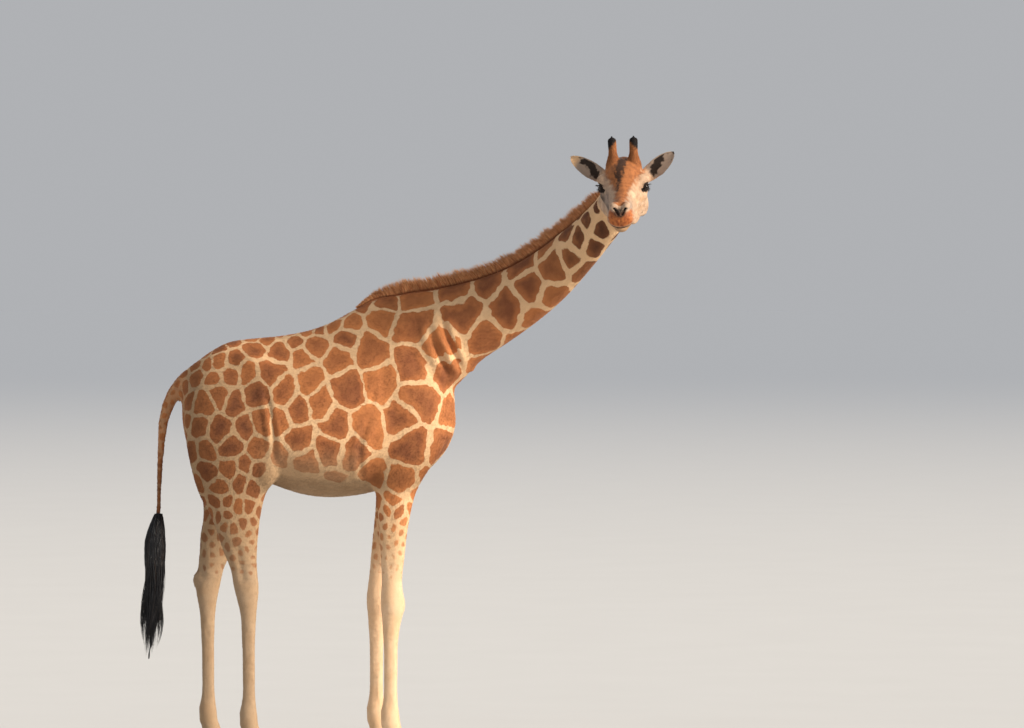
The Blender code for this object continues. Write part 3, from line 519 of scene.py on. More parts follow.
def ear_form(side, rows=48, columns=21, thickness=0.0105):
    """A leaf-shaped cup. At share s of the way to the tip and t from -1 to 1 between its edges, the point
    lies s * length along the ear, leaf_width(s) * t across it, and 0.030 * (t^2 - 0.55) * (1 - 0.75 s)
    towards its open side. The back is set off by the thickness."""
    tip = EAR_TIPS[side]
    along = unit(tip - EAR_ROOT)
    across = unit(np.cross([1.0, 0, 0], along))
    s = np.sin(np.linspace(-0.08, 1, rows) * np.pi / 2)[:, None]
    t = np.concatenate([np.linspace(-1, 1, columns), np.linspace(1, -1, columns)])[None]
    layer = np.concatenate([np.zeros(columns), np.ones(columns)])[None]
    cup = 0.030 * (t * t - 0.55) * (1 - 0.75 * s) - layer * thickness * (1 - 0.15 * abs(t))
    reach = leaf_width(np.clip(s, 0, 1)) * t * np.where(t < 0, 1.00, 0.96)
    grid = (EAR_ROOT + (s * np.linalg.norm(tip - EAR_ROOT))[..., None] * along + reach[..., None] * across
            + cup[..., None] * np.array([1.0, 0, 0])) * (1, side, 1)
    ends = grid[[0, -1]].mean(1)
    return np.concatenate([grid.reshape(-1, 3), ends]), tube_faces(rows, 2 * columns)


def mirrored(points):
    """Places on the head with both its sides laid on the left one."""
    return np.stack([points[:, 0], np.abs(points[:, 1]), points[:, 2]], -1)


def mound(points, centre, radii):
    """exp(-d^2), d being the distance from the centre measured in the three radii."""
    return np.exp(-(((points - np.asarray(centre)) / np.asarray(radii)) ** 2).sum(1))


def ramp(value, start, end):
    """0 below the start, 1 above the end, and smooth between."""
    t = np.clip((value - start) / (end - start), 0, 1)
    return t * t * (3 - 2 * t)


def refined(piece, near):
    """Each edge near enough cut in two, so that small folds have points to bend at."""
    chosen = near(mirrored(from_head(places(piece.data))))
    with edited(piece) as bm:
        edges = [edge for edge in bm.edges if chosen[edge.verts[0].index] and chosen[edge.verts[1].index]]
        bmesh.ops.subdivide_edges(bm, edges=edges, cuts=1, use_grid_fill=True)
        bmesh.ops.triangulate(bm, faces=bm.faces[:])


# the bones and big muscles are melted first at a coarse grain and eased until they run into each other
forms = [carried(skull_path, (0, 0, 1), 70, 48, upright=True), carried(JAW, (0, 0, 1), 60, 40, upright=True),
         swelling((-0.035, 0, 0.100), (0.100, 0.088, 0.044))]
for side in (-1, 1):
    for (ahead_of, out, up), radii in (
        ((-0.018, 0.118, 0.052), (0.056, 0.046, 0.034)),  # brow
        ((0.004, 0.118, -0.026), (0.062, 0.026, 0.032)),  # cheek bone
        ((-0.045, 0.092, -0.122), (0.104, 0.049, 0.070)),  # jaw muscle
        ((0.055, 0.060, -0.122), (0.175, 0.044, 0.048)),  # side of the lower jaw
    ):
        forms.append(swelling((ahead_of, out * side, up), radii))
forms = [(on_head(form_points), form_faces) for form_points, form_faces in forms]
BONE_GRAIN, HEAD_GRAIN = 0.0055, (0.0029)
bones = melted("bones", forms, BONE_GRAIN)
points = eased(bones.data, places(bones.data), 0.5, 44)
bone_faces = [tuple(face.vertices) for face in bones.data.polygons]
bpy.data.objects.remove(bones)

# then the horns, ears and all that is small or sharp, with the top of the neck
forms = [(points, bone_faces), carried(NECK[-4:], (0, 0, 1), 50, 56)]
small = [swelling((0.318, 0, -0.095), (0.048, 0.044, 0.034))]
for side in (-1, 1):
    small += [carried(horn_stump(side), (1, 0, 0), 30, 28), ear_form(side)]
    for (ahead_of, out, up), radii in (
        ((0.006, 0.108, 0.010), (0.040, 0.034, 0.036)),  # the bulge of the eye
        ((0.322, 0.034, 0.036), (0.034, 0.025, 0.023)),  # nostril wing
        ((0.328, 0.036, -0.036), (0.046, 0.044, 0.034)),  # upper lip
        ((-0.168, 0.110, 0.000), (0.034, 0.034, 0.044)),  # ear root
    ):
        small.append(swelling((ahead_of, out * side, up), radii))
forms += [(on_head(form_points), form_faces) for form_points, form_faces in small]
head_skin = melted("head_skin", forms, HEAD_GRAIN)


def ear_of(points):
    """How much a place on the head is the ear's blade and not its root."""
    m = mirrored(points)
    return ramp((m - EAR_ROOT) @ EAR_WAY, 0.075, 0.105) * (m[:, 0] < -0.08)


# the blades of the ears are faired without shrinking, and the rest is eased until its forms run together
points = places(head_skin.data)
blade = ear_of(from_head(points))
FAIRINGS, HEAD_EASINGS = ((24, 70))
for _ in range(FAIRINGS):
    points = eased(head_skin.data, points, 0.5 * blade, 1)
    points = eased(head_skin.data, points, -0.52 * blade, 1)
points = eased(head_skin.data, points, 0.5 * blade, 4)
q = mirrored(from_head(points))
muzzle = ramp(q[:, 0], 0.26, 0.31)
horn = ramp(q[:, 2], 0.150, 0.185) * (1 - blade)
share = 0.5 * (1 - blade) * (1 - 0.72 * muzzle) * (1 - 0.85 * horn)
points = eased(head_skin.data, points, share, HEAD_EASINGS)

# the forms that lie on the head, pushed out or pressed in along its own normals
moved(head_skin.data, points)
refined(head_skin, lambda m: (np.linalg.norm((m - EYE) * (1, 0.8, 1), axis=1) < 0.058)
        | ((m[:, 0] > 0.20) & (m[:, 2] > -0.115) & (m[:, 2] < -0.045))
        | ((m[:, 0] > 0.29) & (m[:, 2] > -0.01)))
refined(head_skin, lambda m: np.linalg.norm((m - EYE) * (1, 0.8, 1), axis=1) < 0.040)
points = places(head_skin.data)
points = eased(head_skin.data, points, 0.3 * (1 - ear_of(from_head(points))), 3)
moved(head_skin.data, points)
out = normals(head_skin.data)
m = mirrored(from_head(points))
raise_by = np.zeros(len(m))
for centre, radii, amount in (
    ((-0.075, 0.130, 0.050), (0.026, 0.030, 0.022), -0.004),  # temple
    ((0.062, 0.112, 0.018), (0.024, 0.024, 0.022), -0.004),  # hollow before the eye
    ((0.120, 0.092, -0.005), (0.060, 0.030, 0.022), -0.004),  # side of the nose
    ((-0.060, 0.000, 0.150), (0.040, 0.026, 0.030), 0.004),  # crown
    ((0.250, 0.074, -0.020), (0.040, 0.025, 0.020), -0.004),  # before the lip
    ((-0.115, 0.122, -0.070), (0.030, 0.030, 0.050), -0.006),  # behind the jaw
    ((0.345, 0.000, -0.020), (0.030, 0.028, 0.030), 0.004),  # the full middle of the upper lip
):
    raise_by += amount * mound(m, centre, radii)
for start, end, width, amount in (
    ((0.030, 0.130, -0.034), (0.160, 0.090, -0.052), 0.013, 0.0035),  # crest of the cheek
    ((0.050, 0.122, -0.080), (0.200, 0.082, -0.074), 0.018, -0.0035),  # hollow under it
    ((0.060, 0.0, 0.095), (0.290, 0.0, 0.056), 0.022, 0.003),  # bridge of the nose
    ((0.385, 0.0, -0.010), (0.372, 0.0, -0.085), 0.005, -0.0025),  # the groove of the upper lip
    ((0.244, 0.079, -0.062), (0.205, 0.086, -0.046), 0.006, -0.0028),  # creases behind the mouth's corner
    ((0.232, 0.079, -0.084), (0.196, 0.086, -0.074), 0.006, -0.0028),
    ((0.222, 0.079, -0.072), (0.180, 0.088, -0.062), 0.006, -0.0022),
    ((0.120, 0.094, -0.020), (0.200, 0.080, -0.030), 0.008, -0.0015),
    ((0.300, 0.070, -0.052), (0.280, 0.076, -0.030), 0.006, -0.0018),
):
    raise_by += amount * near_line(m, start, end, width)[0]


def mouth_height(m):
    """The height of the line of the mouth, which dips in front under the full upper lip."""
    return -0.067 - 0.019 * np.clip(1 - (m[:, 1] / 0.066) ** 2, 0, 1) * ramp(m[:, 0], 0.28, 0.35)


# the groove of the mouth, from the front round to the corners, with a lip on either side
beside = ramp(m[:, 0], 0.208, 0.232)
drop = m[:, 2] - mouth_height(m)
lips = 0.0035 * bell(drop, 0.013, 0.010) + 0.0015 * bell(drop, -0.011, 0.008)
raise_by += beside * (lips - 0.0075 * bell(drop, 0, 0.0034))


def nearest_gap(points, spots):
    """How far each point is from the nearest of a few spots."""
    return np.min(np.stack([np.linalg.norm(points - spot, axis=1) for spot in spots], 1), axis=1)


# nostrils: curved slits with a raised rim all round
SLIT = ((0.371, 0.011, 0.004), (0.362, 0.021, 0.018), (0.348, 0.033, 0.031), (0.326, 0.043, 0.040))
slit = smooth_rows(SLIT, 24)
slit_floor = np.concatenate([slit[::2], slit[::2] - (0.010, 0.001, 0.005)])
gap = nearest_gap(m, slit)
raise_by += 0.0035 * bell(gap, 0.0120, 0.0045) - 0.013 * bell(gap, 0, 0.0056)
points = points + out * raise_by[:, None]

# eyes: the lids wrap the ball, and an almond is open between them, facing outwards and a little ahead. a runs
# along it to its front corner, b up, c out of the ball, and d is how far a point lies outside its edge
eye_out = unit(np.array([0.52, 0.85, 0.06]))
eye_ahead = unit(np.cross(eye_out, [0.0, 0, 1]))
eye_ahead, eye_up = spun(eye_ahead, np.cross(eye_ahead, eye_out), np.radians(-9))


def about_eye(points):
    """A place on the head as a, b, c of its nearer eye, and d."""
    rest = mirrored(points) - EYE
    a, b, c = rest @ eye_ahead, rest @ eye_up, rest @ eye_out
    span = np.clip(1 - (a / ALMOND) ** 2, 0, 1)
    edge = np.where(b > 0, UPPER_LID * span**0.75, LOWER_LID * span)
    d = np.maximum(np.abs(b) - edge, (np.abs(a) - ALMOND) * 0.8)
    return a, b, c, d


q = from_head(points)
a, b, c, d = about_eye(q)
ring = np.sqrt(a * a + b * b)
at_eye = ramp(c, -0.022, -0.006) * (ring < 0.060)
lid_radius = EYE_RADIUS + 0.0034
lid = np.sqrt(np.clip(lid_radius**2 - ring**2, 0.012**2, None))
wrapped = lid + (c - lid) * ramp(ring, 0.019, 0.043)
upper = np.where(b > 0, 1.0, 0.55)
for amount, at, width in (
    (0.0026, 0.0026, 0.0022),  # edge of the lid
    (-0.0040, 0.0092, 0.0026),  # crease round it
    (0.0022, 0.0165, 0.0055),  # swelling outside that
    (-0.0012, 0.0260, 0.0036),  # outer crease
):
    wrapped += upper * amount * bell(d, at, width)
heavy = (b > 0) * ramp(a, -0.020, 0.0)  # the forward part of the upper lid
wrapped += 0.0035 * bell(d, 0.0035, 0.0035) * heavy
ball = np.sqrt(np.clip(EYE_RADIUS**2 - ring**2, 0, None))
opened = ramp(d, -0.0022, 0.0)
wrapped = (ball - 0.005) * (1 - opened) + wrapped * opened
shift = (wrapped - c) * at_eye * (1 - ramp(ring, 0.050, 0.060))
q = q + shift[:, None] * (eye_out * (1, 0, 1) + np.sign(q[:, 1:2]) * eye_out * (0, 1, 0))
points = on_head(q)
moved(head_skin.data, points)
a, b, c, d = about_eye(q)
fine = bell(np.clip(d - 0.004, 0, None), 0, 0.02) * (np.hypot(a, b) < 0.06)
points = eased(head_skin.data, points, 0.3 * (1 - ear_of(q)) * (1 - 0.75 * fine), 2)
moved(head_skin.data, points)

# the skin lies under the coat, thinner on the face than on the neck
q = from_head(points)
a, b, c, d = about_eye(q)
off_eye = ramp(np.hypot(a, b) + 100 * (c < -0.02), 0.03, 0.05)
hair = 0.0030 * (1 - 0.5 * ear_of(q)) * (1 - 0.5 * ramp(q[:, 0], 0.20, 0.28)) * off_eye
points -= normals(head_skin.data) * hair[:, None]
moved(head_skin.data, points)
HEAD_TRIANGLES = 80000
thinned(head_skin, HEAD_TRIANGLES)

# knitting the head to the neck: both are cut square to the neck, and the two rims are bridged and eased
knit_at = NECK[-2, :3]
knit_axis = unit(NECK[-1, :3] - NECK[-3, :3])


def cut_off(piece, gap, axis):
    """Takes away what lies past a plane across the knit, set back by the gap, and leaves an open edge."""
    with edited(piece) as bm:
        bmesh.ops.bisect_plane(bm, geom=bm.verts[:] + bm.edges[:] + bm.faces[:], dist=1e-6,
                               plane_co=knit_at - gap * axis, plane_no=axis, clear_outer=True)


cut_off(trunk_skin, 0.006, knit_axis)
cut_off(head_skin, 0.006, -knit_axis)
skin = trunk_skin
skin.name = "skin"
with edited(skin) as bm:
    bm.from_mesh(head_skin.data)
    bmesh.ops.bridge_loops(bm, edges=[edge for edge in bm.edges if edge.is_boundary])
    bmesh.ops.triangulate(bm, faces=bm.faces[:])
    bmesh.ops.recalc_face_normals(bm, faces=bm.faces[:])
bpy.data.objects.remove(head_skin)
points = places(skin.data)
beyond = (points - knit_at) @ knit_axis
near = bell(beyond, 0, 0.03) * (np.linalg.norm(points - knit_at, axis=1) < 0.25)
points = eased(skin.data, points, 0.6 * near, 12)
moved(skin.data, points)

# -------------------------------------------------------------------------------------------- markings
# Brown patches parted by cream lines: each is the cell of one of about a thousand scattered seeds, large on
# the shoulder and neck, small on the hips, along the back and down the legs. The lines widen until the
# patches vanish at knee and hock. They are kept as numbers on the skin's points, so that skin and coat can
# carry the same pattern.

NECK_LINE = smooth_rows(NECK, 60)[:, :3]
NECK_WAY = unit(np.gradient(NECK_LINE, axis=0))


def wavy(points, length, seed):
    """A smooth random number from about -1 to 1, made of 7 sine waves of about that length."""
    rng = np.random.default_rng(seed)
    waves = unit(rng.normal(size=(7, 3))) * (2 * np.pi / (length * rng.uniform(0.7, 1.6, (7, 1))))
    return np.sin(points @ waves.T + rng.uniform(0, 6.28, 7)).sum(1) / 3.2


def along_neck(points):
    """The nearest place on the neck's middle line, from 0 at its root to 59 at the head."""
    best, gap = np.zeros(len(points), int), np.full(len(points), 99.0)
    for i, place in enumerate(NECK_LINE):
        d = ((points - place) ** 2).sum(1)
        nearer = d < gap
        best[nearer], gap[nearer] = i, d[nearer]
    return best


def regions(points):
    """Shares from 0 to 1 of each part of the body at these places."""
    x, z = points[:, 0], points[:, 2]
    neck = along_neck(points)
    q = mirrored(from_head(points))
    throat = np.interp(q[:, 0], [-0.16, -0.08, 0.02, 0.10], [-0.085, -0.135, -0.168, -0.26])
    head = ramp(q[:, 0] + 0.35 * q[:, 2], -0.160, -0.138) * ramp(q[:, 2] - throat, -0.010, 0.010) * (
        np.linalg.norm(points - MIDDLE, axis=1) < 0.52)
    head = np.maximum(head, ramp(q[:, 1], 0.085, 0.10) * ramp(q[:, 2], -0.07, -0.04) * (q[:, 0] > -0.25))
    back = np.interp(x, TRUNK[:, 0], TRUNK[:, 1])
    return {
        "neck": ramp(neck, 6, 15) * (1 - head), "up_neck": neck / (len(NECK_LINE) - 1), "head": head,
        "tail": ramp(-x, 1.225, 1.300), "leg": ramp(1.62 - z, 0, 0.12) * (x < 0.4) * (x > -1.30),
        "hind": ramp(-x, 0.42, 0.50), "ridge": ramp(z - back, -0.13, -0.05) * (x < 0.05),
        "hip": ramp(-x, 0.66, 0.86), "shoulder": ramp(x, -0.36, -0.20),
    }


def spacing(points, part):
    """How far apart patches are, in metres."""
    z = points[:, 2]
    body = 0.175 + (0.215 - 0.175) * part["shoulder"] + (0.138 - 0.175) * part["hip"]
    body = body + (0.100 - body) * part["ridge"]
    leg = np.where(part["hind"] > 0.5, np.interp(z, [0.85, 1.20, 1.70], [0.044, 0.060, 0.108]),
                   np.interp(z, [0.80, 1.25, 1.70], [0.042, 0.055, 0.114]))
    body = body + (leg - body) * part["leg"]
    neck = np.interp(part["up_neck"], [0.1, 0.5, 0.85, 1.0], [0.255, 0.200, 0.135, 0.110])
    body = body + (neck - body) * np.maximum(part["neck"], part["head"])
    return body + (0.050 - body) * part["tail"]


def laid_out(points):
    """The places with the trunk stretched along, so that its patches stand a little upright."""
    stretch = 1 + 0.18 * ramp(-points[:, 0], -0.15, 0.05)
    return points * np.stack([stretch, 1 + 0 * stretch, 1 + 0 * stretch], -1)


def spread(points, gaps, seed):
    """Places picked from the points in a random order, none nearer to another than the gap there."""
    order = np.random.default_rng(seed).permutation(len(points))
    spots, gaps = points[order], gaps[order]
    free, picked = np.ones(len(spots), bool), []
    while free.any():
        i = int(np.argmax(free))
        picked.append(order[i])
        free &= np.linalg.norm(spots - spots[i], axis=1) > gaps[i]
    return np.array(picked)


CANDIDATES, NEAREST_SEEDS = 24000, 0.80  # points tried as seeds, and the least gap as a share of the spacing
points = places(skin.data)
rng = np.random.default_rng(7)
some = points[rng.choice(len(points), min(len(points), CANDIDATES), replace=False)]
chosen = spread(laid_out(some), spacing(some, regions(some)) * NEAREST_SEEDS, 3)
SEEDS = laid_out(some[chosen])
SEED_TONE = rng.uniform(0, 1, len(SEEDS))


BATCH, NEIGHBOURS, SHARPNESS = 4000, 8, 150  # points at a time, seeds compared, and the k below


def patches(points, part):
    """How far inside its patch each place lies, in metres and below 0 in a line, and a number from 0 to 1
    that is the patch's own. The distance to the line between two seeds is (d2^2 - d1^2) / (2 |s2 - s1|), and
    the smallest of these, rounded at corners by -log(sum(exp(-k e))) / k, less half the line's width, is how
    far inside it lies."""
    wide = spacing(points, part)
    drawn = np.stack([
        0.075 * wavy(points, 0.17, s) + 0.024 * wavy(points, 0.050, s + 10) for s in (1, 2, 3)
    ], -1)
    spots = laid_out(points + wide[:, None] * drawn)
    inside, which = np.empty(len(points)), np.empty(len(points), int)
    for i in range(0, len(points), BATCH):
        some = spots[i : i + BATCH]
        gap = (some**2).sum(1)[:, None] + (SEEDS**2).sum(1) - 2 * some @ SEEDS.T
        near = np.argpartition(gap, NEIGHBOURS - 1, axis=1)[:, :NEIGHBOURS]
        near = np.take_along_axis(near, np.argsort(np.take_along_axis(gap, near, 1), axis=1), 1)
        square = np.take_along_axis(gap, near, 1)
        between = np.linalg.norm(SEEDS[near[:, 1:]] - SEEDS[near[:, :1]], axis=2)
        edge = (square[:, 1:] - square[:, :1]) / (2 * between)
        inside[i : i + BATCH] = -np.log(np.exp(-edge * SHARPNESS).sum(1)) / SHARPNESS
        which[i : i + BATCH] = near[:, 0]
    x, y, z = points.T
    line = 0.0128 - 0.0024 * part["hip"] - 0.0035 * part["ridge"]
    line = line + 0.0020 * part["neck"] + 0.0010 * part["shoulder"]
    line = line * (1 + 0.16 * wavy(points, 0.21, 18)) + 0.0035 * part["neck"] * part["up_neck"] ** 2
    line = line + (0.0095 - line) * part["leg"] + (0.006 - line) * part["tail"]
    fade = np.where(part["hind"] > 0.5, ramp(1.11 - z, 0, 0.34), ramp(1.09 - z, 0, 0.36))
    belly = np.interp(x, TRUNK[:, 0], TRUNK[:, 2])
    between_legs = ramp(-x, 0.17, 0.30) * ramp(x, -0.86, -0.70)
    low = ramp(belly + 0.150 - z, 0, 0.11) * between_legs * (np.abs(y) < 0.5)
    line = line + 0.065 * fade * part["leg"] + 0.20 * part["head"] + 0.11 * low * (1 - part["leg"])
    faded = 0.40 * ramp(belly + 0.34 - z, 0, 0.22) * between_legs + 0.36 * part["leg"] * ramp(1.5 - z, 0, 0.4)
    frayed = 0.0025 * wavy(points, 0.052, 8) + 0.0016 * wavy(points, 0.021, 9)
    return inside + frayed - line, SEED_TONE[which], np.clip(faded, 0, 0.5)


def strongest(*shares):
    """The largest of several shares at each place."""
    return np.maximum.reduce(shares)


def face_rust(points, q, m):
    """The rust of forehead and horns, which runs down the bridge of the nose, and of the back of the head."""
    half = np.interp(m[:, 0], [-0.20, -0.10, -0.02, 0.06, 0.14, 0.22, 0.33],
                     [0.100, 0.118, 0.108, 0.070, 0.040, 0.034, 0.030])
    low = np.interp(m[:, 0], [-0.20, 0.0, 0.1, 0.33], [0.03, 0.055, 0.03, 0.0])
    ragged = 0.008 * wavy(points, 0.034, 21) + 0.003 * wavy(points, 0.011, 22)
    return strongest(
        (1 - ramp(m[:, 1] - half + ragged, -0.014, 0.016)) * ramp(m[:, 2] - low, -0.02, 0.02)
        * (q[:, 0] < 0.335),
        ramp(m[:, 2], 0.125, 0.150),
        0.9 * ramp(-q[:, 0], 0.10, 0.16) * (1 - ramp(m[:, 1], 0.105, 0.125)),
    )


def face_dark_and_shade(points, q, m, right):
    """The dark marks of the face, with painted shade on its right cheek, in its nostrils, in the crease over
    each eye and along the mouth.
    """
    streak, t = near_line(q, (-0.070, -0.006, 0.155), (0.150, -0.034, 0.074), 0.036)
    a, b, c, d = about_eye(q)
    here = c > -0.02
    corner = 0.0052 * np.clip(1.9 - np.abs(a) / 0.030, 0.1, 1)
    blotched = ramp(wavy(points, 0.030, 28), -0.5, 0.5)
    hole = nearest_gap(m, slit_floor)
    spots = ramp(wavy(points, 0.016, 25), 0.55, 0.8) * mound(q, (0.08, 0.10, -0.12), (0.15, 0.06, 0.05))
    return strongest(
        # the streak that runs down the forehead to the right
        0.70 * ramp(streak + 0.20 * wavy(points, 0.016, 23) - 0.20 * t, 0.05, 0.75),
        # the dark rims of the eye, painted shade in the crease over it, and a dark line past its corners
        here * (1 - ramp(d - 0.002 * (b > 0), 0.0070, 0.0160)),
        0.66 * here * bell(b + 8 * a**2, 0.0315, 0.0045) * ramp(0.034 - np.abs(a), 0, 0.022),
        0.9 * here * bell(b + 0.10 * a, 0, corner) * (1 - ramp(np.abs(a), 0.030, 0.050)),
        # painted shade on the right cheek, which is turned from the light: two smudges and a blotched patch
        0.70 * right * mound(m, (0.050, 0.115, -0.038), (0.070, 0.05, 0.036)),
        0.60 * right * mound(m, (0.160, 0.080, -0.050), (0.085, 0.04, 0.036)),
        0.52 * right * blotched * mound(m, (0.110, 0.095, -0.010), (0.120, 0.036, 0.050)),
        # painted shade in the nostril slits, the dark tip of the nose, and painted shade along the line of
        # the mouth
        (1 - ramp(hole, 0.0040, 0.0110)) * (0.55 + 0.40 * ramp(m[:, 2], 0.008, 0.022)),
        0.72 * np.clip(1.5 * mound(m, (0.368, 0, 0.010), (0.042, 0.040, 0.028)), 0, 1),
        0.72 * bell(m[:, 2] - mouth_height(m), -0.001, 0.0042) * ramp(m[:, 0], 0.205, 0.235),
        # small spots on the left of the jaw
        0.60 * spots * (q[:, 1] > 0),
    )


EAR_STREAKS = {  # a dark line inside each ear, by its side: share of the length, share of the half width
    -1: ((0.22, -0.38), (0.36, -0.05), (0.50, 0.42), (0.68, 0.36)),
    1: ((0.24, -0.30), (0.42, 0.10), (0.68, 0.55)),
}


def ear_marks(points, q, m, head, forward):
    """The dark and the rust of the ears, and how far each place is on their open side."""
    dark, rust, ear_in = np.zeros((3, len(points)))
    ear = head * ramp((m - EAR_ROOT) @ EAR_WAY, 0.035, 0.065) * (m[:, 0] < -0.09)
    for side, streak in EAR_STREAKS.items():
        span = EAR_TIPS[side] - EAR_ROOT
        length, along = np.linalg.norm(span), unit(span)
        across = unit(np.cross([1.0, 0, 0], along))
        upward = np.sign(across[2])
        s, t = ((m - EAR_ROOT) @ along) / length, ((m - EAR_ROOT) @ across) / EAR_HALF_WIDTH
        mine = ear * (np.sign(q[:, 1]) == side)
        inner = mine * ramp(forward, -0.15, 0.25)
        ear_in += inner
        path = np.array([(u * length, v * EAR_HALF_WIDTH * upward, 0) for u, v in streak])
        flat = np.stack([s * length, t * EAR_HALF_WIDTH, 0 * s], -1)
        line = strongest(*(near_line(flat, start, end, 0.0235)[0] for start, end in zip(path, path[1:])))
        to_rim = np.abs(t) / np.maximum(leaf_width(np.clip(s, 0, 1)) / EAR_HALF_WIDTH, 0.08)
        at_rim = ramp(to_rim, 0.86, 0.99)
        ragged = 0.26 * wavy(points, 0.024, 26)
        if side > 0:
            below = 0.7 * at_rim * ramp(-t * upward, 0, 0.2) * ramp(s, 0.3, 0.5)
            edge = 0.9 * strongest(ramp(s, 0.93, 0.985), below)
        else:
            edge = 0.30 * at_rim * ramp(t * upward, 0, 0.3) * ramp(0.85 - s, 0, 0.1)
        streaked = inner * ramp(line + ragged, 0.14, 0.62) * (1 - ramp(to_rim, 0.72, 0.88))
        dark = strongest(dark, streaked, mine * edge)
        rust = strongest(rust, (mine - inner) * 0.5 * ramp(0.8 - s, 0, 0.3))
    return dark, rust, ear_in


def fold_shade_and_highlight(points):
    """How far each place lies in a fold of the skin, where shade is painted, and how far on the swell ahead
    of one of the neck's, where a highlight is painted.
    """
    neck = [furrow(points, path, width * 0.8, 1.0, 0.0) for path, width, depth in NECK_FOLDS]
    sides = [0.80 * furrow(points, path, width * 0.7, 1.0, 0.0) for path, width, depth in SIDE_FOLDS]
    lit_swell = [furrow(points, np.array(path) + (0.026, 0, 0.004), width * 0.8, 1.0, 0.0)
             for path, width, depth in NECK_FOLDS]
    return np.clip(strongest(*neck, *sides), 0, 1), np.clip(strongest(*lit_swell), 0, 1)


def lip_marks(points, m, mouth):
    """How far each place is on the rusty front of the upper lip."""
    ahead = m[:, 0] + 0.25 * (0.01 - m[:, 2]) + 0.006 * wavy(points, 0.02, 27)
    aside = 0.082 - np.abs(m[:, 1]) + 0.006 * wavy(points, 0.016, 29)
    over_mouth = (1 - 0.85 * (m[:, 2] < mouth)) * (1 - 0.75 * ramp(mouth + 0.020 - m[:, 2], 0, 0.014))
    return ramp(ahead, 0.296, 0.325) * (1 - ramp(m[:, 2], 0.004, 0.018)) * over_mouth * ramp(aside, 0, 0.022)


def marks(points, out):
    """All the numbers that the coat's colour is made from, at these places whose normals point that way."""
    part = regions(points)
    inside, tone, faded = patches(points, part)
    q = from_head(points)
    m, head, z = mirrored(q), part["head"], points[:, 2]
    # the right side of the head, which is turned from the light and gets painted shade
    right = (q[:, 1] < 0).astype(float)
    on_face = head * (1 - ear_of(q))
    mouth = mouth_height(m)
    ear_dark, ear_rust, ear_in = ear_marks(points, q, m, head, (out @ HEAD.T)[:, 0])
    # painted shade in the skin's folds, and a painted highlight on the swells ahead of the neck's folds
    fold_shade, lit_swell = fold_shade_and_highlight(points)
    # painted shade in a pocket above and behind the elbow
    elbow_pocket_shade = mound(mirrored(points), (-0.225, 0.27, 1.87), (0.042, 0.12, 0.150))  # above and behind the elbow
    rust = strongest(on_face * face_rust(points, q, m), ear_rust, 0.70 * part["tail"])
    # the painted shade of folds and pocket, put with the dark marks
    creases = strongest(0.66 * fold_shade, 0.50 * np.clip(elbow_pocket_shade, 0, 1))
    dark = strongest(on_face * face_dark_and_shade(points, q, m, right), ear_dark, creases)
    aside = np.abs(m[:, 1]) + 0.25 * m[:, 0]
    grey_and_shade = strongest(
        0.9 * ear_in * (1 - 0.8 * right * ramp((m - EAR_ROOT) @ EAR_WAY, 0.185, 0.215)),
        # painted shade: grey over the right cheek, which is turned from the light
        0.80 * on_face * right * mound(m, (0.110, 0.09, -0.035), (0.15, 0.07, 0.075)),
        0.80 * on_face * ramp(aside, 0.055, 0.085) * mound(m, (0.29, 0.05, 0.02), (0.07, 0.05, 0.03)),
    )
    tan = ramp(wavy(points, 0.040, 24), -0.05, 0.6) * mound(m, (0.08, 0.10, -0.05), (0.11, 0.06, 0.06))
    # the chin under the mouth: its own yellowish tan, darkened as painted shade under the muzzle
    chin_tan_and_shade = ramp(m[:, 0], 0.24, 0.30) * ramp(mouth + 0.002 - m[:, 2], 0, 0.008)
    under = ramp(-out[:, 2], 0.55, 0.95) * (z > 1.3) * (1 - part["neck"]) * (1 - head)
    hips = 1.12 * part["hip"] * ramp(2.45 - z, 0, 0.3) * (1 - part["tail"])
    return {
        # the cream lines widen underneath, and on the neck's swells as a painted highlight
        "inside": inside - 0.06 * under - 0.035 * lit_swell,
        "tone": tone,
        "faded": faded,
        "deep": part["neck"] * ramp(part["up_neck"], 0.45, 0.90),
        "rust": rust,
        "face": on_face,
        "shaded": np.clip(hips + under + ramp(1.90 - z, 0, 0.35) * (1 - part["leg"]), 0, 1.2),
        "dark": np.clip(dark, 0, 1),
        "grey_and_shade": np.clip(grey_and_shade, 0, 1),
        "lip": on_face * lip_marks(points, m, mouth),
        "tan": on_face * strongest(np.clip(tan, 0, 1), chin_tan_and_shade),
        "pale": np.clip(ramp(1.35 - z, 0, 0.40) * part["leg"], 0, 1),
    }


def keep(mesh, numbers):
    """Keeps arrays of one number for each point as the mesh's attributes."""
    for name, values in numbers.items():
        made = mesh.attributes.new(name, "FLOAT", "POINT")
        made.data.foreach_set("value", np.asarray(values, np.float32))


skin.data.shade_smooth()
SKIN_OUT = normals(skin.data)
keep(skin.data, marks(points, SKIN_OUT))

bpy.context.view_layer.objects.active = skin
skin.select_set(True)
skin.data.uv_layers.new(name="OFBake")
bpy.ops.object.mode_set(mode="EDIT")
bpy.ops.mesh.select_all(action="SELECT")
bpy.ops.uv.smart_project(angle_limit=1.15, island_margin=0.002, scale_to_bounds=True)
bpy.ops.object.mode_set(mode="OBJECT")

# --------------------------------------------------------------------------------- skin and short coat
# The hide, and over it the short sleek coat: many thousands of flat locks that lie on the skin and point down
# the body, away from the muzzle, smallest on the face and the feet. Both are painted by one material.


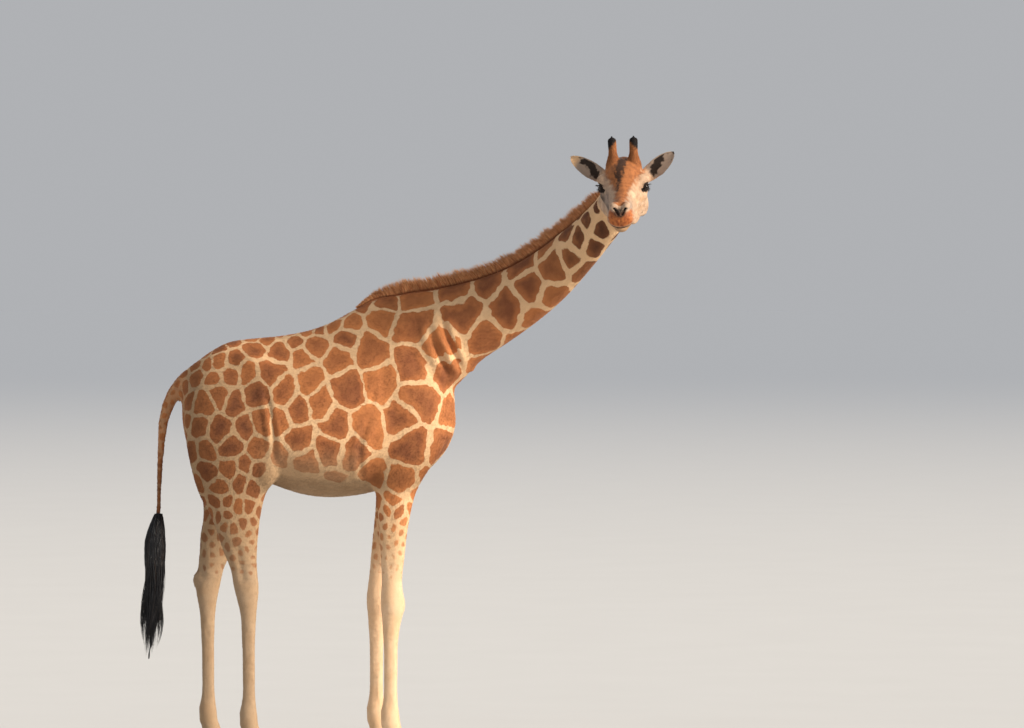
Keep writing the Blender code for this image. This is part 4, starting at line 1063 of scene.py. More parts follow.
class Wire:
    """A socket of a material's nodes. + - and * add Math nodes, and node() adds any other."""

    def __init__(self, tree, socket=None):
        self.tree = tree
        self.socket = socket

    def node(self, kind, settings={}, values={}, out=0):
        """A node of that type, with its settings set first and then the values or links of its sockets."""
        made = self.tree.nodes.new("ShaderNode" + kind)
        for key, value in settings.items():
            setattr(made, key, value)
        for key, value in values.items():
            if isinstance(value, Wire):
                self.tree.links.new(value.socket, made.inputs[key])
            else:
                made.inputs[key].default_value = value
        return Wire(self.tree, made.outputs[out] if made.outputs else None)

    def math(self, operation, first, second):
        return self.node("Math", {"operation": operation}, {0: first, 1: second})

    def __add__(self, other):
        return self.math("ADD", self, other)

    def __radd__(self, other):
        return self.math("ADD", other, self)

    def __sub__(self, other):
        return self.math("SUBTRACT", self, other)

    def __rsub__(self, other):
        return self.math("SUBTRACT", other, self)

    def __mul__(self, other):
        return self.math("MULTIPLY", self, other)


def colour(red, green, blue):
    """A colour as a socket takes it."""
    return (red, green, blue, 1.0)


def mixed(share, first, second):
    """The first colour turning into the second as share goes from 0 to 1."""
    return share.node("Mix", {"data_type": "RGBA"}, {0: share, 6: first, 7: second}, out=2)


def step(value, low, high):
    """0 below low, 1 above high, smooth between."""
    settings = {"interpolation_type": "SMOOTHSTEP"}
    return value.node("MapRange", settings, {"Value": value, "From Min": low, "From Max": high})


def number(start, name):
    """A number kept on the piece's points."""
    return start.node("Attribute", {"attribute_name": name}, out="Fac")


def noise(start, scale, detail=2.0, stretch=(1, 1, 1)):
    """Noise with about that many waves a metre, drawn out along an axis whose stretch is below 1."""
    place = start.node("TexCoord", out="Object")
    place = start.node("Mapping", {}, {"Vector": place, "Scale": stretch})
    return start.node("TexNoise", {}, {"Vector": place, "Scale": scale, "Detail": detail}, out=0)


def finished(name, paint):
    """A material whose Principled BSDF takes the sockets that paint gives."""
    made = bpy.data.materials.new(name)
    made.use_nodes = True
    made.node_tree.nodes.clear()
    start = Wire(made.node_tree)
    surface = start.node("BsdfPrincipled", {}, paint(start))
    start.node("OutputMaterial", {}, {"Surface": surface})
    return made


CREAM, LEG_CREAM = colour(0.780, 0.500, 0.275), colour(0.820, 0.560, 0.345)
PATCH_ORANGE, PATCH_BROWN = colour(0.530, 0.190, 0.062), colour(0.410, 0.140, 0.048)
PATCH_CORE = colour(0.190, 0.062, 0.027)
NECK_BROWN, NECK_CORE = colour(0.130, 0.045, 0.018), colour(0.060, 0.022, 0.010)
RUST, RUST_DEEP = colour(0.390, 0.142, 0.048), colour(0.170, 0.060, 0.024)
FACE, LIP = colour(0.490, 0.325, 0.215), colour(0.480, 0.150, 0.040)
GREY, TAN, DARK = colour(0.300, 0.235, 0.195), colour(0.420, 0.245, 0.125), colour(0.026, 0.016, 0.012)


def coat_paint(start):
    """Cream, with a patch wherever the place lies inside one by more than a fine ragged noise, darker towards
    the middle of some patches, and over that the head's own colours, painted shade in folds and creases, on
    the right cheek and under the chin, and painted shade wherever the shaded number is high."""
    inside, tone, deep = number(start, "inside"), number(start, "tone"), number(start, "deep")
    ragged = (noise(start, 110, 3) - 0.5) * 0.0065
    edge = inside + ragged
    soft = number(start, "faded") * 0.012
    mask = step(edge, -0.0028, soft + 0.0034)
    heart = step(edge + (noise(start, 22, 3) - 0.5) * 0.034, 0.008, 0.052)
    ground = mixed(number(start, "pale"), CREAM, LEG_CREAM)
    ground = mixed(step(noise(start, 9, 3), 0.35, 0.72) * 0.45, ground, colour(0.680, 0.410, 0.210))
    patch = mixed(step(tone, 0.10, 0.95), PATCH_ORANGE, PATCH_BROWN)
    patch = mixed(heart * (0.32 + step(tone, 0.2, 1.0) * 0.48), patch, PATCH_CORE)
    neck = mixed(heart * 0.75, NECK_BROWN, NECK_CORE)
    patch = mixed(deep, patch, neck)
    patch = mixed(step(noise(start, 12, 3), 0.40, 0.75) * 0.30, patch, colour(0.560, 0.215, 0.075))
    made = mixed(mask * (1.0 - number(start, "faded")), ground, patch)
    rust = mixed(step(noise(start, 45, 3), 0.35, 0.70) * 0.6, RUST, RUST_DEEP)
    face = number(start, "face")
    made = mixed(face * 0.9, made, FACE)
    made = mixed(face * step(noise(start, 42, 3), 0.44, 0.64) * 0.60, made, colour(0.300, 0.185, 0.130))
    made = mixed(face * step(noise(start, 17, 2), 0.50, 0.72) * 0.60, made, colour(0.760, 0.520, 0.340))
    # tan mottles of the face, and the chin's tan darkened as painted shade
    made = mixed(number(start, "tan") * 0.75, made, TAN)
    # grey inside the ears and beside the nose, and painted shade over the right cheek
    made = mixed(number(start, "grey_and_shade"), made, GREY)
    made = mixed(number(start, "rust"), made, rust)
    made = mixed(number(start, "lip"), made,
                 mixed(step(noise(start, 55, 3), 0.35, 0.70), LIP, colour(0.260, 0.065, 0.020)))
    # the dark marks, with the painted shade of folds, creases, nostrils, the right cheek and the mouth's
    # groove
    dark = step(number(start, "dark") + (noise(start, 230, 3) - 0.5) * 0.34, 0.16, 0.84)
    made = mixed(dark, made, DARK)
    strand = 1.0 + number(start, "shade") * 0.16 + (noise(start, 700, 2) - 0.5) * 0.14
    strand = strand - number(start, "shaded") * 0.44
    made = start.node("VectorMath", {"operation": "SCALE"}, {0: made, "Scale": strand})
    hair = noise(start, 620, 3) * 0.55 + noise(start, 190, 2) * 0.45
    bump = start.node("Bump", {}, {"Height": hair, "Strength": 0.50, "Distance": 0.0010})
    rough = 0.80 - number(start, "lip") * 0.18 - number(start, "dark") * 0.12
    return {"Base Color": made, "Roughness": rough, "Normal": bump, "Specular IOR Level": 0.22,
            "Sheen Weight": 0.04, "Sheen Roughness": 0.45}


coat_material = finished("giraffe_coat", coat_paint)
skin.data.materials.append(coat_material)


def meshed(name, points, triangles):
    """A mesh object made of whole arrays of points and triangles."""
    mesh = bpy.data.meshes.new(name)
    mesh.vertices.add(len(points))
    mesh.vertices.foreach_set("co", np.asarray(points, np.float32).ravel())
    mesh.loops.add(triangles.size)
    mesh.loops.foreach_set("vertex_index", np.asarray(triangles, np.int32).ravel())
    mesh.polygons.add(len(triangles))
    mesh.polygons.foreach_set("loop_start", np.arange(0, triangles.size, 3, dtype=np.int32))
    mesh.update(calc_edges=True)
    mesh.shade_smooth()
    piece = bpy.data.objects.new(name, mesh)
    bpy.context.scene.collection.objects.link(piece)
    return piece


def laid(ways, out):
    """Each direction laid flat on a surface whose normal is out."""
    return unit(ways - out * (ways * out).sum(1)[:, None])


def lie_of(points, part):
    """The way the coat lies: back and down on the trunk, down the neck and the legs, back over the head, and
    out along the ears."""
    q = from_head(points)
    m = mirrored(q)
    lie = np.tile([-1.0, 0.0, -0.38], (len(points), 1))
    lie[:, 2] -= 0.8 * np.clip((2.2 - points[:, 2]) / 0.6, 0, 1)
    neck = -NECK_WAY[along_neck(points)] + (0, 0, -0.25)
    lie += (neck - lie) * part["neck"][:, None]
    lie += (np.array([-0.10, 0, -1.0]) - lie) * np.maximum(part["leg"], part["tail"])[:, None]
    back = np.stack([-1.0 + 0 * m[:, 0], np.sign(q[:, 1]) * 0.15, -0.15 + 0 * m[:, 0]], -1) @ HEAD
    lie += (back - lie) * part["head"][:, None]
    blade = (ear_of(q) * part["head"])[:, None]
    for side in (-1, 1):
        outward = unit((EAR_TIPS[side] - EAR_ROOT) * (1, side, 1)) @ HEAD
        lie += (outward - lie) * blade * (np.sign(q[:, 1]) == side)[:, None]
    swirl = np.stack([wavy(points, 0.10, 31), wavy(points, 0.10, 32), wavy(points, 0.10, 33)], -1)
    return unit(lie) + 0.16 * swirl


def lock_length(points, part):
    """How long the coat is: 15 mm on the trunk, 8 mm at the feet, 5 mm on the muzzle."""
    q = from_head(points)
    body = 0.0155 - 0.0015 * part["neck"]
    body = body + (np.interp(points[:, 2], [0.1, 0.8, 1.5], [0.008, 0.010, 0.015]) - body) * part["leg"]
    head = np.interp(q[:, 0], [-0.20, 0.0, 0.30], [0.010, 0.0075, 0.0050])
    body = body + (head - body) * part["head"] + 0.004 * part["tail"]
    return body * (1 - 0.35 * ear_of(q) * part["head"])


def skin_uv(roots):
    """Where the skin's unwrap has these places."""
    return np.array([vertex_uv[nearest.find(place)[1]] for place in roots])


def patched(piece, uv, shape):
    """Gives each hair or lock a patch 0.003 across at its root's place on the skin's unwrap. shape is where
    each of its points lies in the patch, from -1 to 1."""
    patch = (uv[:, None] + 0.0015 * np.asarray(shape)).reshape(-1, 2)
    corner = rows_of(piece.data.loops, "vertex_index", 1)[:, 0]
    layer = piece.data.uv_layers.new(name="OFBake")
    layer.data.foreach_set("uv", patch[corner].astype(np.float32).ravel())


LOCK_FACES = np.array([(0, 2, 3), (0, 3, 1), (2, 4, 3), (1, 3, 4), (0, 1, 2), (1, 4, 2)])


def locks(name, roots, out, lie, length, width, lift, numbers, uv, seed):
    """Flat closed spindles. Each has its root in the skin, its two sides 0.4 of the way along and half a
    width out, a ridge between them, and its tip at its full length, lifted off the skin. numbers are the
    marks where its root, its middle and its tip lie."""
    rng = np.random.default_rng(seed)
    count = len(roots)
    lie = laid(lie, out)
    side = np.cross(out, lie)
    turn = rng.normal(0, 0.13, count)[:, None]
    lie, side = spun(lie, side, turn)
    length = (length * rng.uniform(0.75, 1.2, count))[:, None]
    half = np.reshape(width / 2, (-1, 1))
    lift = np.reshape(lift, (-1, 1)) * rng.uniform(0.6, 1.25, count)[:, None]
    points = np.stack([
        roots - out * 0.0010,
        roots + lie * length * 0.40 + side * half + out * lift * 0.30,
        roots + lie * length * 0.40 - side * half + out * lift * 0.30,
        roots + lie * length * 0.46 + out * (lift * 0.62 + half * 0.30),
        roots + lie * length + out * lift + side * half * rng.normal(0, 0.7, count)[:, None],
    ], 1).reshape(-1, 3)
    triangles = (LOCK_FACES[None] + 5 * np.arange(count)[:, None, None]).reshape(-1, 3)
    piece = meshed(name, points, triangles)
    lean = np.stack([-lie * 0.25, side * 0.40, -side * 0.40, 0 * side, lie * 0.35], 1)
    shading = unit(out[:, None] + lean).reshape(-1, 3)
    piece.data.normals_split_custom_set_from_vertices(shading.astype(np.float32))
    own_shade = np.clip(rng.normal(0, 0.30, count), -0.8, 0.8)
    shade = own_shade[:, None] + np.array([-0.35, -0.05, -0.05, 0.10, 0.35])
    at_root, at_middle, at_tip = numbers
    keep(piece.data, {key: np.stack([at_root[key], *[at_middle[key]] * 3, at_tip[key]], 1).ravel()
                      for key in at_root})
    keep(piece.data, {"shade": shade.ravel()})
    patched(piece, uv, [(0, -1), (-1, 0), (1, 0), (0, 0.3), (0, 1)])
    return piece


mesh = skin.data
mesh.calc_loop_triangles()
corners = rows_of(mesh.loop_triangles, "vertices", 3)
loops = rows_of(mesh.loop_triangles, "loops", 3)
corner_uv = rows_of(mesh.uv_layers["OFBake"].data, "uv", 2, np.float32)[loops]
points = places(mesh)
vertex_uv = np.zeros((len(points), 2))
vertex_uv[corners.ravel()] = corner_uv.reshape(-1, 2)
nearest = KDTree(len(points))
for index, place in enumerate(points):
    nearest.insert(place, index)
nearest.balance()
a, b, c = points[corners[:, 0]], points[corners[:, 1]], points[corners[:, 2]]
area = np.linalg.norm(np.cross(b - a, c - a), axis=1) / 2
middle = (a + b + c) / 3
part = regions(middle)
q = from_head(middle)
m = mirrored(q)
length = lock_length(middle, part)
weight = area / length**2
_, _, out_of_eye, round_eye = about_eye(q)
weight *= 1 - (ramp(0.0075 - round_eye, 0, 0.003) * (out_of_eye > -0.02) * part["head"])
weight *= ramp(nearest_gap(m, slit_floor), 0.009, 0.013)
horn_way = unit(HORN_TIP - HORN_ROOT)
up_horn = (m - HORN_ROOT) @ horn_way
beside_horn = np.linalg.norm(m - HORN_ROOT - up_horn[:, None] * horn_way, axis=1)
weight *= 1 - (up_horn > 0.048) * (beside_horn < 0.05)
weight *= (middle[:, 2] > 0.089) * (1 + 0.5 * part["leg"])

LOCK_BREADTH = 0.22  # of its length
# name, where its locks grow, how many they are, how high their tips stand off the skin
LOCK_PARTS = [
    ("coat_head", part["head"] > 0.5, 33000, 0.0012),
    ("coat_neck", (part["neck"] > 0.5) & (part["head"] <= 0.5), 32000, 0.0026),
    ("coat_forelegs", (part["leg"] > 0.5) & (part["hind"] <= 0.5), 25000, 0.0020),
    ("coat_hindlegs", (part["leg"] > 0.5) & (part["hind"] > 0.5), 27000, 0.0020),
    ("coat_chest", middle[:, 0] > -0.56, 33000, 0.0028),
    ("coat_rump", middle[:, 0] <= -0.56, 33000, 0.0028),
]
taken = np.zeros(len(middle), bool)
for seed, (name, where, count, lift) in enumerate(LOCK_PARTS):
    rng = np.random.default_rng(100 + seed)
    where = where & ~taken
    taken |= where
    chance = np.cumsum(weight * where)
    count = count
    face = np.searchsorted(chance, rng.uniform(0, chance[-1], count))
    u, v = rng.uniform(size=(2, count))
    u, v = np.where(u + v > 1, 1 - u, u), np.where(u + v > 1, 1 - v, v)
    shares = np.stack([1 - u - v, u, v], -1)
    roots = (points[corners[face]] * shares[..., None]).sum(1)
    out = unit((SKIN_OUT[corners[face]] * shares[..., None]).sum(1))
    root_part = regions(roots)
    long = lock_length(roots, root_part)
    lie = lie_of(roots, root_part)
    reach = laid(lie, out) * long[:, None]
    uv = (corner_uv[face] * shares[..., None]).sum(1)
    # a lock takes its marks where its root, middle and tip lie, but on the head all three from its root
    numbers = [marks(roots + reach * share * (name != "coat_head"), out) for share in (0, 0.45, 1)]
    lifts = lift * np.minimum(long / 0.015, 1)
    piece = locks(name, roots, out, lie, long, long * LOCK_BREADTH, lifts, numbers, uv, 200 + seed)
    piece.data.materials.append(coat_material)

# ----------------------------------------------------------------------------------------------- horns
# Two bony horns, skin-covered and furred to their tips. Short rusty hair climbs them and stands in a black
# brush round the blunt end. They sit on the skull over the skin's own stumps.


def horn_paint(start):
    """Rusty below, black above, with a ragged edge and darker streaks up the horn."""
    up = number(start, "up")
    streaks = noise(start, 240, 2, (1, 1, 0.25))
    black = step(up + (noise(start, 110, 3) - 0.5) * 0.18 + number(start, "outer") * 0.12, 0.60, 0.74)
    made = mixed(step(streaks, 0.35, 0.70) * 0.7, RUST, RUST_DEEP)
    made = mixed(black, made, colour(0.012, 0.009, 0.009))
    strand = 1.0 + number(start, "shade") * 0.30
    made = start.node("VectorMath", {"operation": "SCALE"}, {0: made, "Scale": strand})
    strands = noise(start, 500, 3, (1, 1, 0.3))
    bump = start.node("Bump", {}, {"Height": strands, "Strength": 0.6, "Distance": 0.0015})
    return {"Base Color": made, "Roughness": 0.78, "Normal": bump, "Specular IOR Level": 0.25}


horn_material = finished("horn_hair", horn_paint)


def horn_radius(share):
    """The core's radius: the horn's less the depth of its hair, a little waisted, and drawn to a point."""
    waist = 0.0035 * bell(share, 0.42, 0.16)
    return np.maximum(np.interp(share, *HORN.T) - 0.0035 - waist - 0.010 * ramp(share, 0.84, 1.0), 0.002)


for side, word in ((-1, "right"), (1, "left")):
    rng = np.random.default_rng(40 + side)
    rings, sides = 40, 36
    share = np.linspace(0.0, 0.985, rings)
    rise = horn_places(share, side)
    axis = unit((HORN_TIP - HORN_ROOT) * (1, side, 1))
    first = unit(np.cross(axis, [1.0, 0, 0]))
    second = np.cross(axis, first)
    angle = 2 * np.pi * np.arange(sides) / sides
    ring = np.cos(angle)[:, None] * first + np.sin(angle)[:, None] * second
    radius = horn_radius(share)
    lumps = 1 + 0.035 * np.sin(3 * angle + 2.0 * side)[None] * ramp(share, 0.3, 0.9)[:, None]
    grid = rise[:, None] + ring[None] * (radius[:, None] * lumps)[..., None]
    core = on_head(np.concatenate([grid.reshape(-1, 3), rise[[0, -1]]]))
    horn = righted(moulded("ossicone_core_" + word, core, tube_faces(rings, sides)))
    outer = side * (ring @ np.array([0, 1.0, 0]))
    keep(horn.data, {"up": np.concatenate([np.repeat(share, sides), [0.1, 1.0]]),
                     "outer": np.concatenate([np.tile(outer, rings), [0, 0]]), "shade": np.zeros(len(core))})
    horn.data.materials.append(horn_material)
    count = 4400
    share = 0.02 + 0.96 * rng.uniform(size=count) ** 0.90
    turn = rng.uniform(0, 2 * np.pi, count)
    radius = horn_radius(share)
    out = np.cos(turn)[:, None] * first + np.sin(turn)[:, None] * second
    roots = on_head(horn_places(share, side) + out * radius[:, None])
    outer = side * out[:, 1]
    slope = ramp(share, 0.80, 1.0)[:, None]
    lie = axis + out * (0.1 - 0.7 * slope)
    out = unit(out + axis * slope * 1.2)
    long = 0.006 + 0.005 * ramp(share, 0.05, 0.40) + 0.005 * ramp(share, 0.55, 0.8)
    long -= 0.006 * ramp(share, 0.80, 0.98)
    lift = 0.0008 + 0.0022 * ramp(share, 0.05, 0.35)
    hair = locks("ossicone_hair_" + word, roots, out @ HEAD, lie @ HEAD, long, 0.0026 + 0 * long, lift,
                 [{"up": share, "outer": outer}] * 3, skin_uv(roots), 300 + side)
    hair.data.materials.append(horn_material)
    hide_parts("ossicone_" + word)

# ------------------------------------------------------------------------------------- eyes and lashes
# Large dark eyes with a level pupil, wet and glossy and bulging a little in front. A fringe of stiff black
# lashes stands out from each upper lid, with a shorter one below.


def eye_paint(start):
    """Black pupil, brown iris with fine rays, near-black rim."""
    off = number(start, "off")
    across = number(start, "across")
    rays = step(noise(start, 700, 2), 0.35, 0.70)
    iris = mixed(rays, colour(0.018, 0.009, 0.005), colour(0.040, 0.020, 0.010))
    made = mixed(step(off, 0.0130, 0.0165), iris, colour(0.010, 0.007, 0.006))
    made = mixed(step(across, 0.0062, 0.0078), colour(0.002, 0.002, 0.002), made)
    return {"Base Color": made, "Roughness": 0.08, "Specular IOR Level": 0.25, "Coat Weight": 0.2,
            "Coat Roughness": 0.03}


def lash_paint(start):
    """Black, a little brown at the ends."""
    made = mixed(number(start, "tip"), colour(0.006, 0.005, 0.005), colour(0.045, 0.028, 0.018))
    return {"Base Color": made, "Roughness": 0.45}


def hairs(name, path, radius, sides, seed):
    """Many tapered hairs, one along each path. The radius falls as 1.02 - share^2, nearly to a point."""
    rng = np.random.default_rng(seed)
    count, steps = path.shape[:2]
    share = np.linspace(0, 1, steps)
    along = unit(np.gradient(path, axis=1))
    side = unit(np.cross(along, rng.normal(size=(count, 1, 3))))
    other = np.cross(along, side)
    angle = 2 * np.pi * np.arange(sides) / sides
    thick = np.reshape(radius, (-1, 1, 1, 1)) * (1.02 - share**2)[None, :, None, None]
    ring = side[:, :, None] * np.cos(angle)[:, None] + other[:, :, None] * np.sin(angle)[:, None]
    grid = path[:, :, None] + ring * thick
    per = steps * sides
    quad = tube_quads(steps, sides)
    caps = [(0, j + 1, j) for j in range(1, sides - 1)]
    caps += [(per - sides, per - sides + j, per - sides + j + 1) for j in range(1, sides - 1)]
    faces = np.concatenate([quad[:, [0, 1, 2]], quad[:, [0, 2, 3]], caps])
    triangles = (faces[None] + per * np.arange(count)[:, None, None]).reshape(-1, 3)
    piece = meshed(name, grid.reshape(-1, 3), triangles)
    tone = rng.uniform(0, 1, count)
    keep(piece.data, {"tip": np.tile(np.repeat(share, sides), count), "strand": np.repeat(tone, per)})
    shape = np.stack([np.tile(np.linspace(-1, 1, sides), steps), np.repeat(share * 2 - 1, sides)], -1)
    patched(piece, skin_uv(path[:, 0]), shape)
    return piece


def bowed(roots, way, sag, length, steps):
    """Paths that run from each root along its way and bend towards sag with the square of the share."""
    share = np.linspace(0, 1, steps)[None, :, None]
    return roots[:, None] + (way[:, None] * share + sag[:, None] * share**2) * np.reshape(length, (-1, 1, 1))


eye_material, lash_material = finished("wet_eye", eye_paint), finished("lash_hair", lash_paint)
for side, word in ((-1, "right"), (1, "left")):
    turn_out, forward, upward = (v * (1, side, 1) for v in (eye_out, eye_ahead, eye_up))
    u = np.linspace(0, np.pi, 42)[1:-1, None]
    v = np.linspace(0, 2 * np.pi, 64, endpoint=False)
    off = np.sin(u) * EYE_RADIUS
    bulge = 0.0012 * ramp(0.017 - off, 0, 0.008) * (u < np.pi / 2)
    radius = EYE_RADIUS - 0.0006 + bulge
    ball = ((radius * np.sin(u) * np.cos(v))[..., None] * forward
            + (radius * np.sin(u) * np.sin(v))[..., None] * upward
            + (radius * np.cos(u) + 0 * v)[..., None] * turn_out)
    points = np.concatenate([ball.reshape(-1, 3), [turn_out * (EYE_RADIUS + 0.0006), -turn_out * EYE_RADIUS]])
    eyeball = righted(moulded("eyeball_" + word, on_head(EYE * (1, side, 1) + points), tube_faces(40, 64)))
    along, rise = points @ forward, points @ upward
    front = points @ turn_out > 0
    keep(eyeball.data, {"off": np.where(front, np.hypot(along, rise), 0.03),
                        "across": np.where(front, np.hypot(along * 0.62, rise), 0.03)})
    eyeball.data.materials.append(eye_material)
    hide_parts("eye_" + word)
    rng = np.random.default_rng(60 + side)
    for lid, count, long, high in (("upper", 96, 0.023, UPPER_LID), ("lower", 44, 0.012, -LOWER_LID)):
        a = np.sort(rng.uniform(-0.0245, 0.0250, count))
        arch = np.clip(1 - (a / ALMOND) ** 2, 0, 1) ** (0.75 if high > 0 else 1.0)
        b = high * arch + np.sign(high) * 0.0022
        c = np.sqrt(np.clip((EYE_RADIUS + 0.0032) ** 2 - a * a - b * b, 0, 1))
        at = EYE + a[:, None] * eye_ahead + b[:, None] * eye_up + c[:, None] * eye_out
        lift = 0.25 if high > 0 else -0.45
        way = eye_out * 0.95 + eye_up * lift + (a / ALMOND)[:, None] * eye_ahead * 0.45
        way = unit(way + rng.normal(0, 0.08, (count, 3)))
        sag = np.tile(-eye_up * 0.30 if high > 0 else -eye_up * 0.10, (count, 1))
        long = long * rng.uniform(0.8, 1.1, count)
        at, way, sag = (rows * (1, side, 1) for rows in (at, way, sag))
        paths = bowed(on_head(at), way @ HEAD, sag @ HEAD, long, 6)
        fringe = hairs("lashes_" + lid + "_" + word, paths, 0.00055, 4, 70 + side)
        fringe.data.materials.append(lash_material)

# ------------------------------------------------------------------------------------------------ mane
# A stiff brush of short chestnut hair that stands upright along the crest, from behind the withers to the
# poll, darker at its roots. A narrow ridge of packed hair runs inside it.

MANE_HEIGHT, MANE_HALF_WIDTH = 0.085, 0.017


def standing(path):
    """The directions along a path, level across it, and up from it, at each of its places."""
    along = unit(np.gradient(path, axis=0))
    across = unit(np.cross([0.0, 0, 1], along))
    return along, across, np.cross(along, across)


# the crest's middle line: over the withers, then 12 mm under the top of the neck
crest = [(-0.250, 0.0, 2.628), (-0.150, 0.0, 2.678), (-0.030, 0.0, 2.700)]
rows = smooth_rows(NECK, 16)
above_neck = rows[:, :3] + standing(rows[:, :3])[2] * (rows[:, 4:5] - 0.012)
crest = np.concatenate([crest, above_neck[rows[:, 0] >= 0.16][:-1]])
share = np.linspace(0, 1, len(crest))
swell = np.minimum(np.minimum(1, share / 0.15), (1 - share) / 0.10 + 0.45)
half, tall = MANE_HALF_WIDTH * (0.5 + 0.5 * swell), MANE_HEIGHT * np.maximum(swell, 0.08) + 0.012
crest = np.column_stack([crest, half, tall])


def mane_paint(start):
    """Chestnut, darker at the roots and paler at the tips, each hair a little different."""
    tip, strand = number(start, "tip"), number(start, "strand")
    made = mixed(step(strand, 0.1, 0.9), colour(0.460, 0.158, 0.054), colour(0.700, 0.320, 0.130))
    made = mixed(step(tip, -0.10, 0.45), colour(0.190, 0.060, 0.024), made)
    made = mixed(step(tip, 0.60, 1.0) * 0.6, made, colour(0.760, 0.430, 0.210))
    made = mixed(step(noise(start, 9, 2), 0.50, 0.75) * 0.4, made, colour(0.230, 0.076, 0.030))
    bump = start.node("Bump", {}, {"Height": noise(start, 700, 2), "Strength": 0.4, "Distance": 0.001})
    return {"Base Color": made, "Roughness": 0.62, "Normal": bump, "Specular IOR Level": 0.30}


mane_material = finished("mane_hair", mane_paint)
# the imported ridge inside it, as stations: narrower and lower, 30 mm deep in the neck, and tapered upwards
lower = np.column_stack([crest * (1, 1, 1, 0.55, 0.60), 0.030 + 0 * share, 0.35 + 0 * share])
mane = righted(moulded("mane_ridge", *carried(lower, (0, 0, 1), 150, 18)))
ones = np.ones(len(mane.data.vertices))
keep(mane.data, {"tip": 0.25 * ones, "strand": 0.3 * ones})
mane.data.materials.append(mane_material)
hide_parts("mane")
rng = np.random.default_rng(80)
MANE_HAIRS = 7400
fine = smooth_rows(crest, 400)
along, across, upward = standing(fine[:, :3])
at = rng.integers(0, len(fine), MANE_HAIRS)
slide = rng.uniform(-0.5, 0.5, (MANE_HAIRS, 1)) * np.linalg.norm(fine[1, :3] - fine[0, :3])
off = rng.uniform(-1, 1, (MANE_HAIRS, 1))
roots = fine[at, :3] + along[at] * slide + across[at] * off * fine[at, 3:4] * 0.72 + upward[at] * 0.004
way = unit(upward[at] * (1 - 0.10 * off**2) + across[at] * off * 0.12 - along[at] * 0.16
           + rng.normal(0, 0.07, (MANE_HAIRS, 3)) + along[at] * 0.06 * wavy(roots, 0.065, 81)[:, None])
tall = (fine[at, 4] - 0.006) * rng.uniform(0.52, 1.04, MANE_HAIRS) * (1 - 0.25 * np.abs(off[:, 0]) ** 3)
tall = tall * (1 + 0.07 * wavy(roots, 0.027, 83) + 0.08 * wavy(roots, 0.110, 84))
paths = bowed(roots, way, across[at] * rng.normal(0, 0.07, (MANE_HAIRS, 1)) - along[at] * 0.16, tall, 5)
brush = hairs("mane_hair", paths, 0.0025, 3, 82)
brush.data.materials.append(mane_material)

# ------------------------------------------------------------------------------------------- tail tuft
# The tail ends in a long switch of coarse black hair that hangs in wavy tresses of many lengths round a
# packed core.

# x, y, z, half width, half depth
TUFT = even_ovals([
    (-1.424, -0.020, 1.418, 0.021, 0.021), (-1.425, -0.020, 1.405, 0.024, 0.024),
    (-1.432, -0.020, 1.360, 0.032, 0.038), (-1.442, -0.020, 1.270, 0.050, 0.058),
    (-1.446, -0.020, 1.160, 0.052, 0.060), (-1.446, -0.018, 1.040, 0.044, 0.052),
    (-1.452, -0.014, 0.900, 0.042, 0.062), (-1.462, -0.010, 0.760, 0.036, 0.066),
    (-1.474, -0.006, 0.640, 0.024, 0.048), (-1.482, -0.004, 0.560, 0.008, 0.018),
])


def tail_paint(start):
    """Blue-black, with some browner strands and a soft shine along them."""
    brown = step(number(start, "strand"), 0.75, 1.0) * 0.7
    made = mixed(brown, colour(0.007, 0.007, 0.009), colour(0.035, 0.021, 0.014))
    strands = noise(start, 500, 2, (1, 1, 0.1))
    bump = start.node("Bump", {}, {"Height": strands, "Strength": 0.4, "Distance": 0.001})
    return {"Base Color": made, "Roughness": 0.42, "Normal": bump, "Specular IOR Level": 0.40}


tail_material = finished("tail_hair", tail_paint)
thin = TUFT.copy()
thin[:, 3:6] *= np.interp(thin[:, 2], [0.56, 0.90, 1.15, 1.42], [0.12, 0.30, 0.66, 0.80])[:, None]
tuft = righted(moulded("tail_core", *carried(thin, (-1, 0, 0), 70, 20)))
points = places(tuft.data)
points += normals(tuft.data) * (0.004 * wavy(points * (1, 1, 0.25), 0.018, 90))[:, None]
moved(tuft.data, points)
tuft.data.materials.append(tail_material)
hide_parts("tail_tuft")
rng = np.random.default_rng(91)
count, steps, CLUMPS = (2100), 12, 38
line = smooth_rows(TUFT, 200)
clump = rng.integers(0, CLUMPS, count)
clump_turn, clump_reach = rng.uniform(0, 2 * np.pi, CLUMPS), rng.uniform(0.25, 1.0, CLUMPS)
clump_end = rng.uniform(0.62, 1.0, CLUMPS)
begin = 0.34 * rng.uniform(size=count) ** 1.5
ending = np.clip(clump_end[clump] * rng.uniform(0.82, 1.0, count), begin + 0.25, 1)
share = begin[:, None] + (ending - begin)[:, None] * np.linspace(0, 1, steps)
# where a hair stands across the tuft: its own place, drawn in further down to that of its clump
own_turn, own_reach = rng.uniform(0, 2 * np.pi, (count, 1)), np.sqrt(rng.uniform(0.2, 1.0, (count, 1)))
gather = ramp(share, 0.25, 0.85)
apart, drawn_in = own_reach * (1 - 0.80 * gather), 0.95 * gather * clump_reach[clump, None]
off_x = apart * np.cos(own_turn) + drawn_in * np.cos(clump_turn)[clump, None]
off_y = apart * np.sin(own_turn) + drawn_in * np.sin(clump_turn)[clump, None]
x, y, z, half, depth = (np.interp(share, np.linspace(0, 1, len(line)), line[:, k]) for k in range(5))
phase = rng.uniform(0, 6.3, CLUMPS)[clump, None]
beat = 0.012 * np.sin(share * (8 + 0.2 * phase) + phase) * ramp(share, 0.2, 0.6)
beat += 0.003 * np.sin(share * rng.uniform(14, 26, (count, 1)) + rng.uniform(0, 6.3, (count, 1)))
paths = np.stack([x + depth * off_x + beat, y + half * off_y - 0.6 * beat, z], -1)
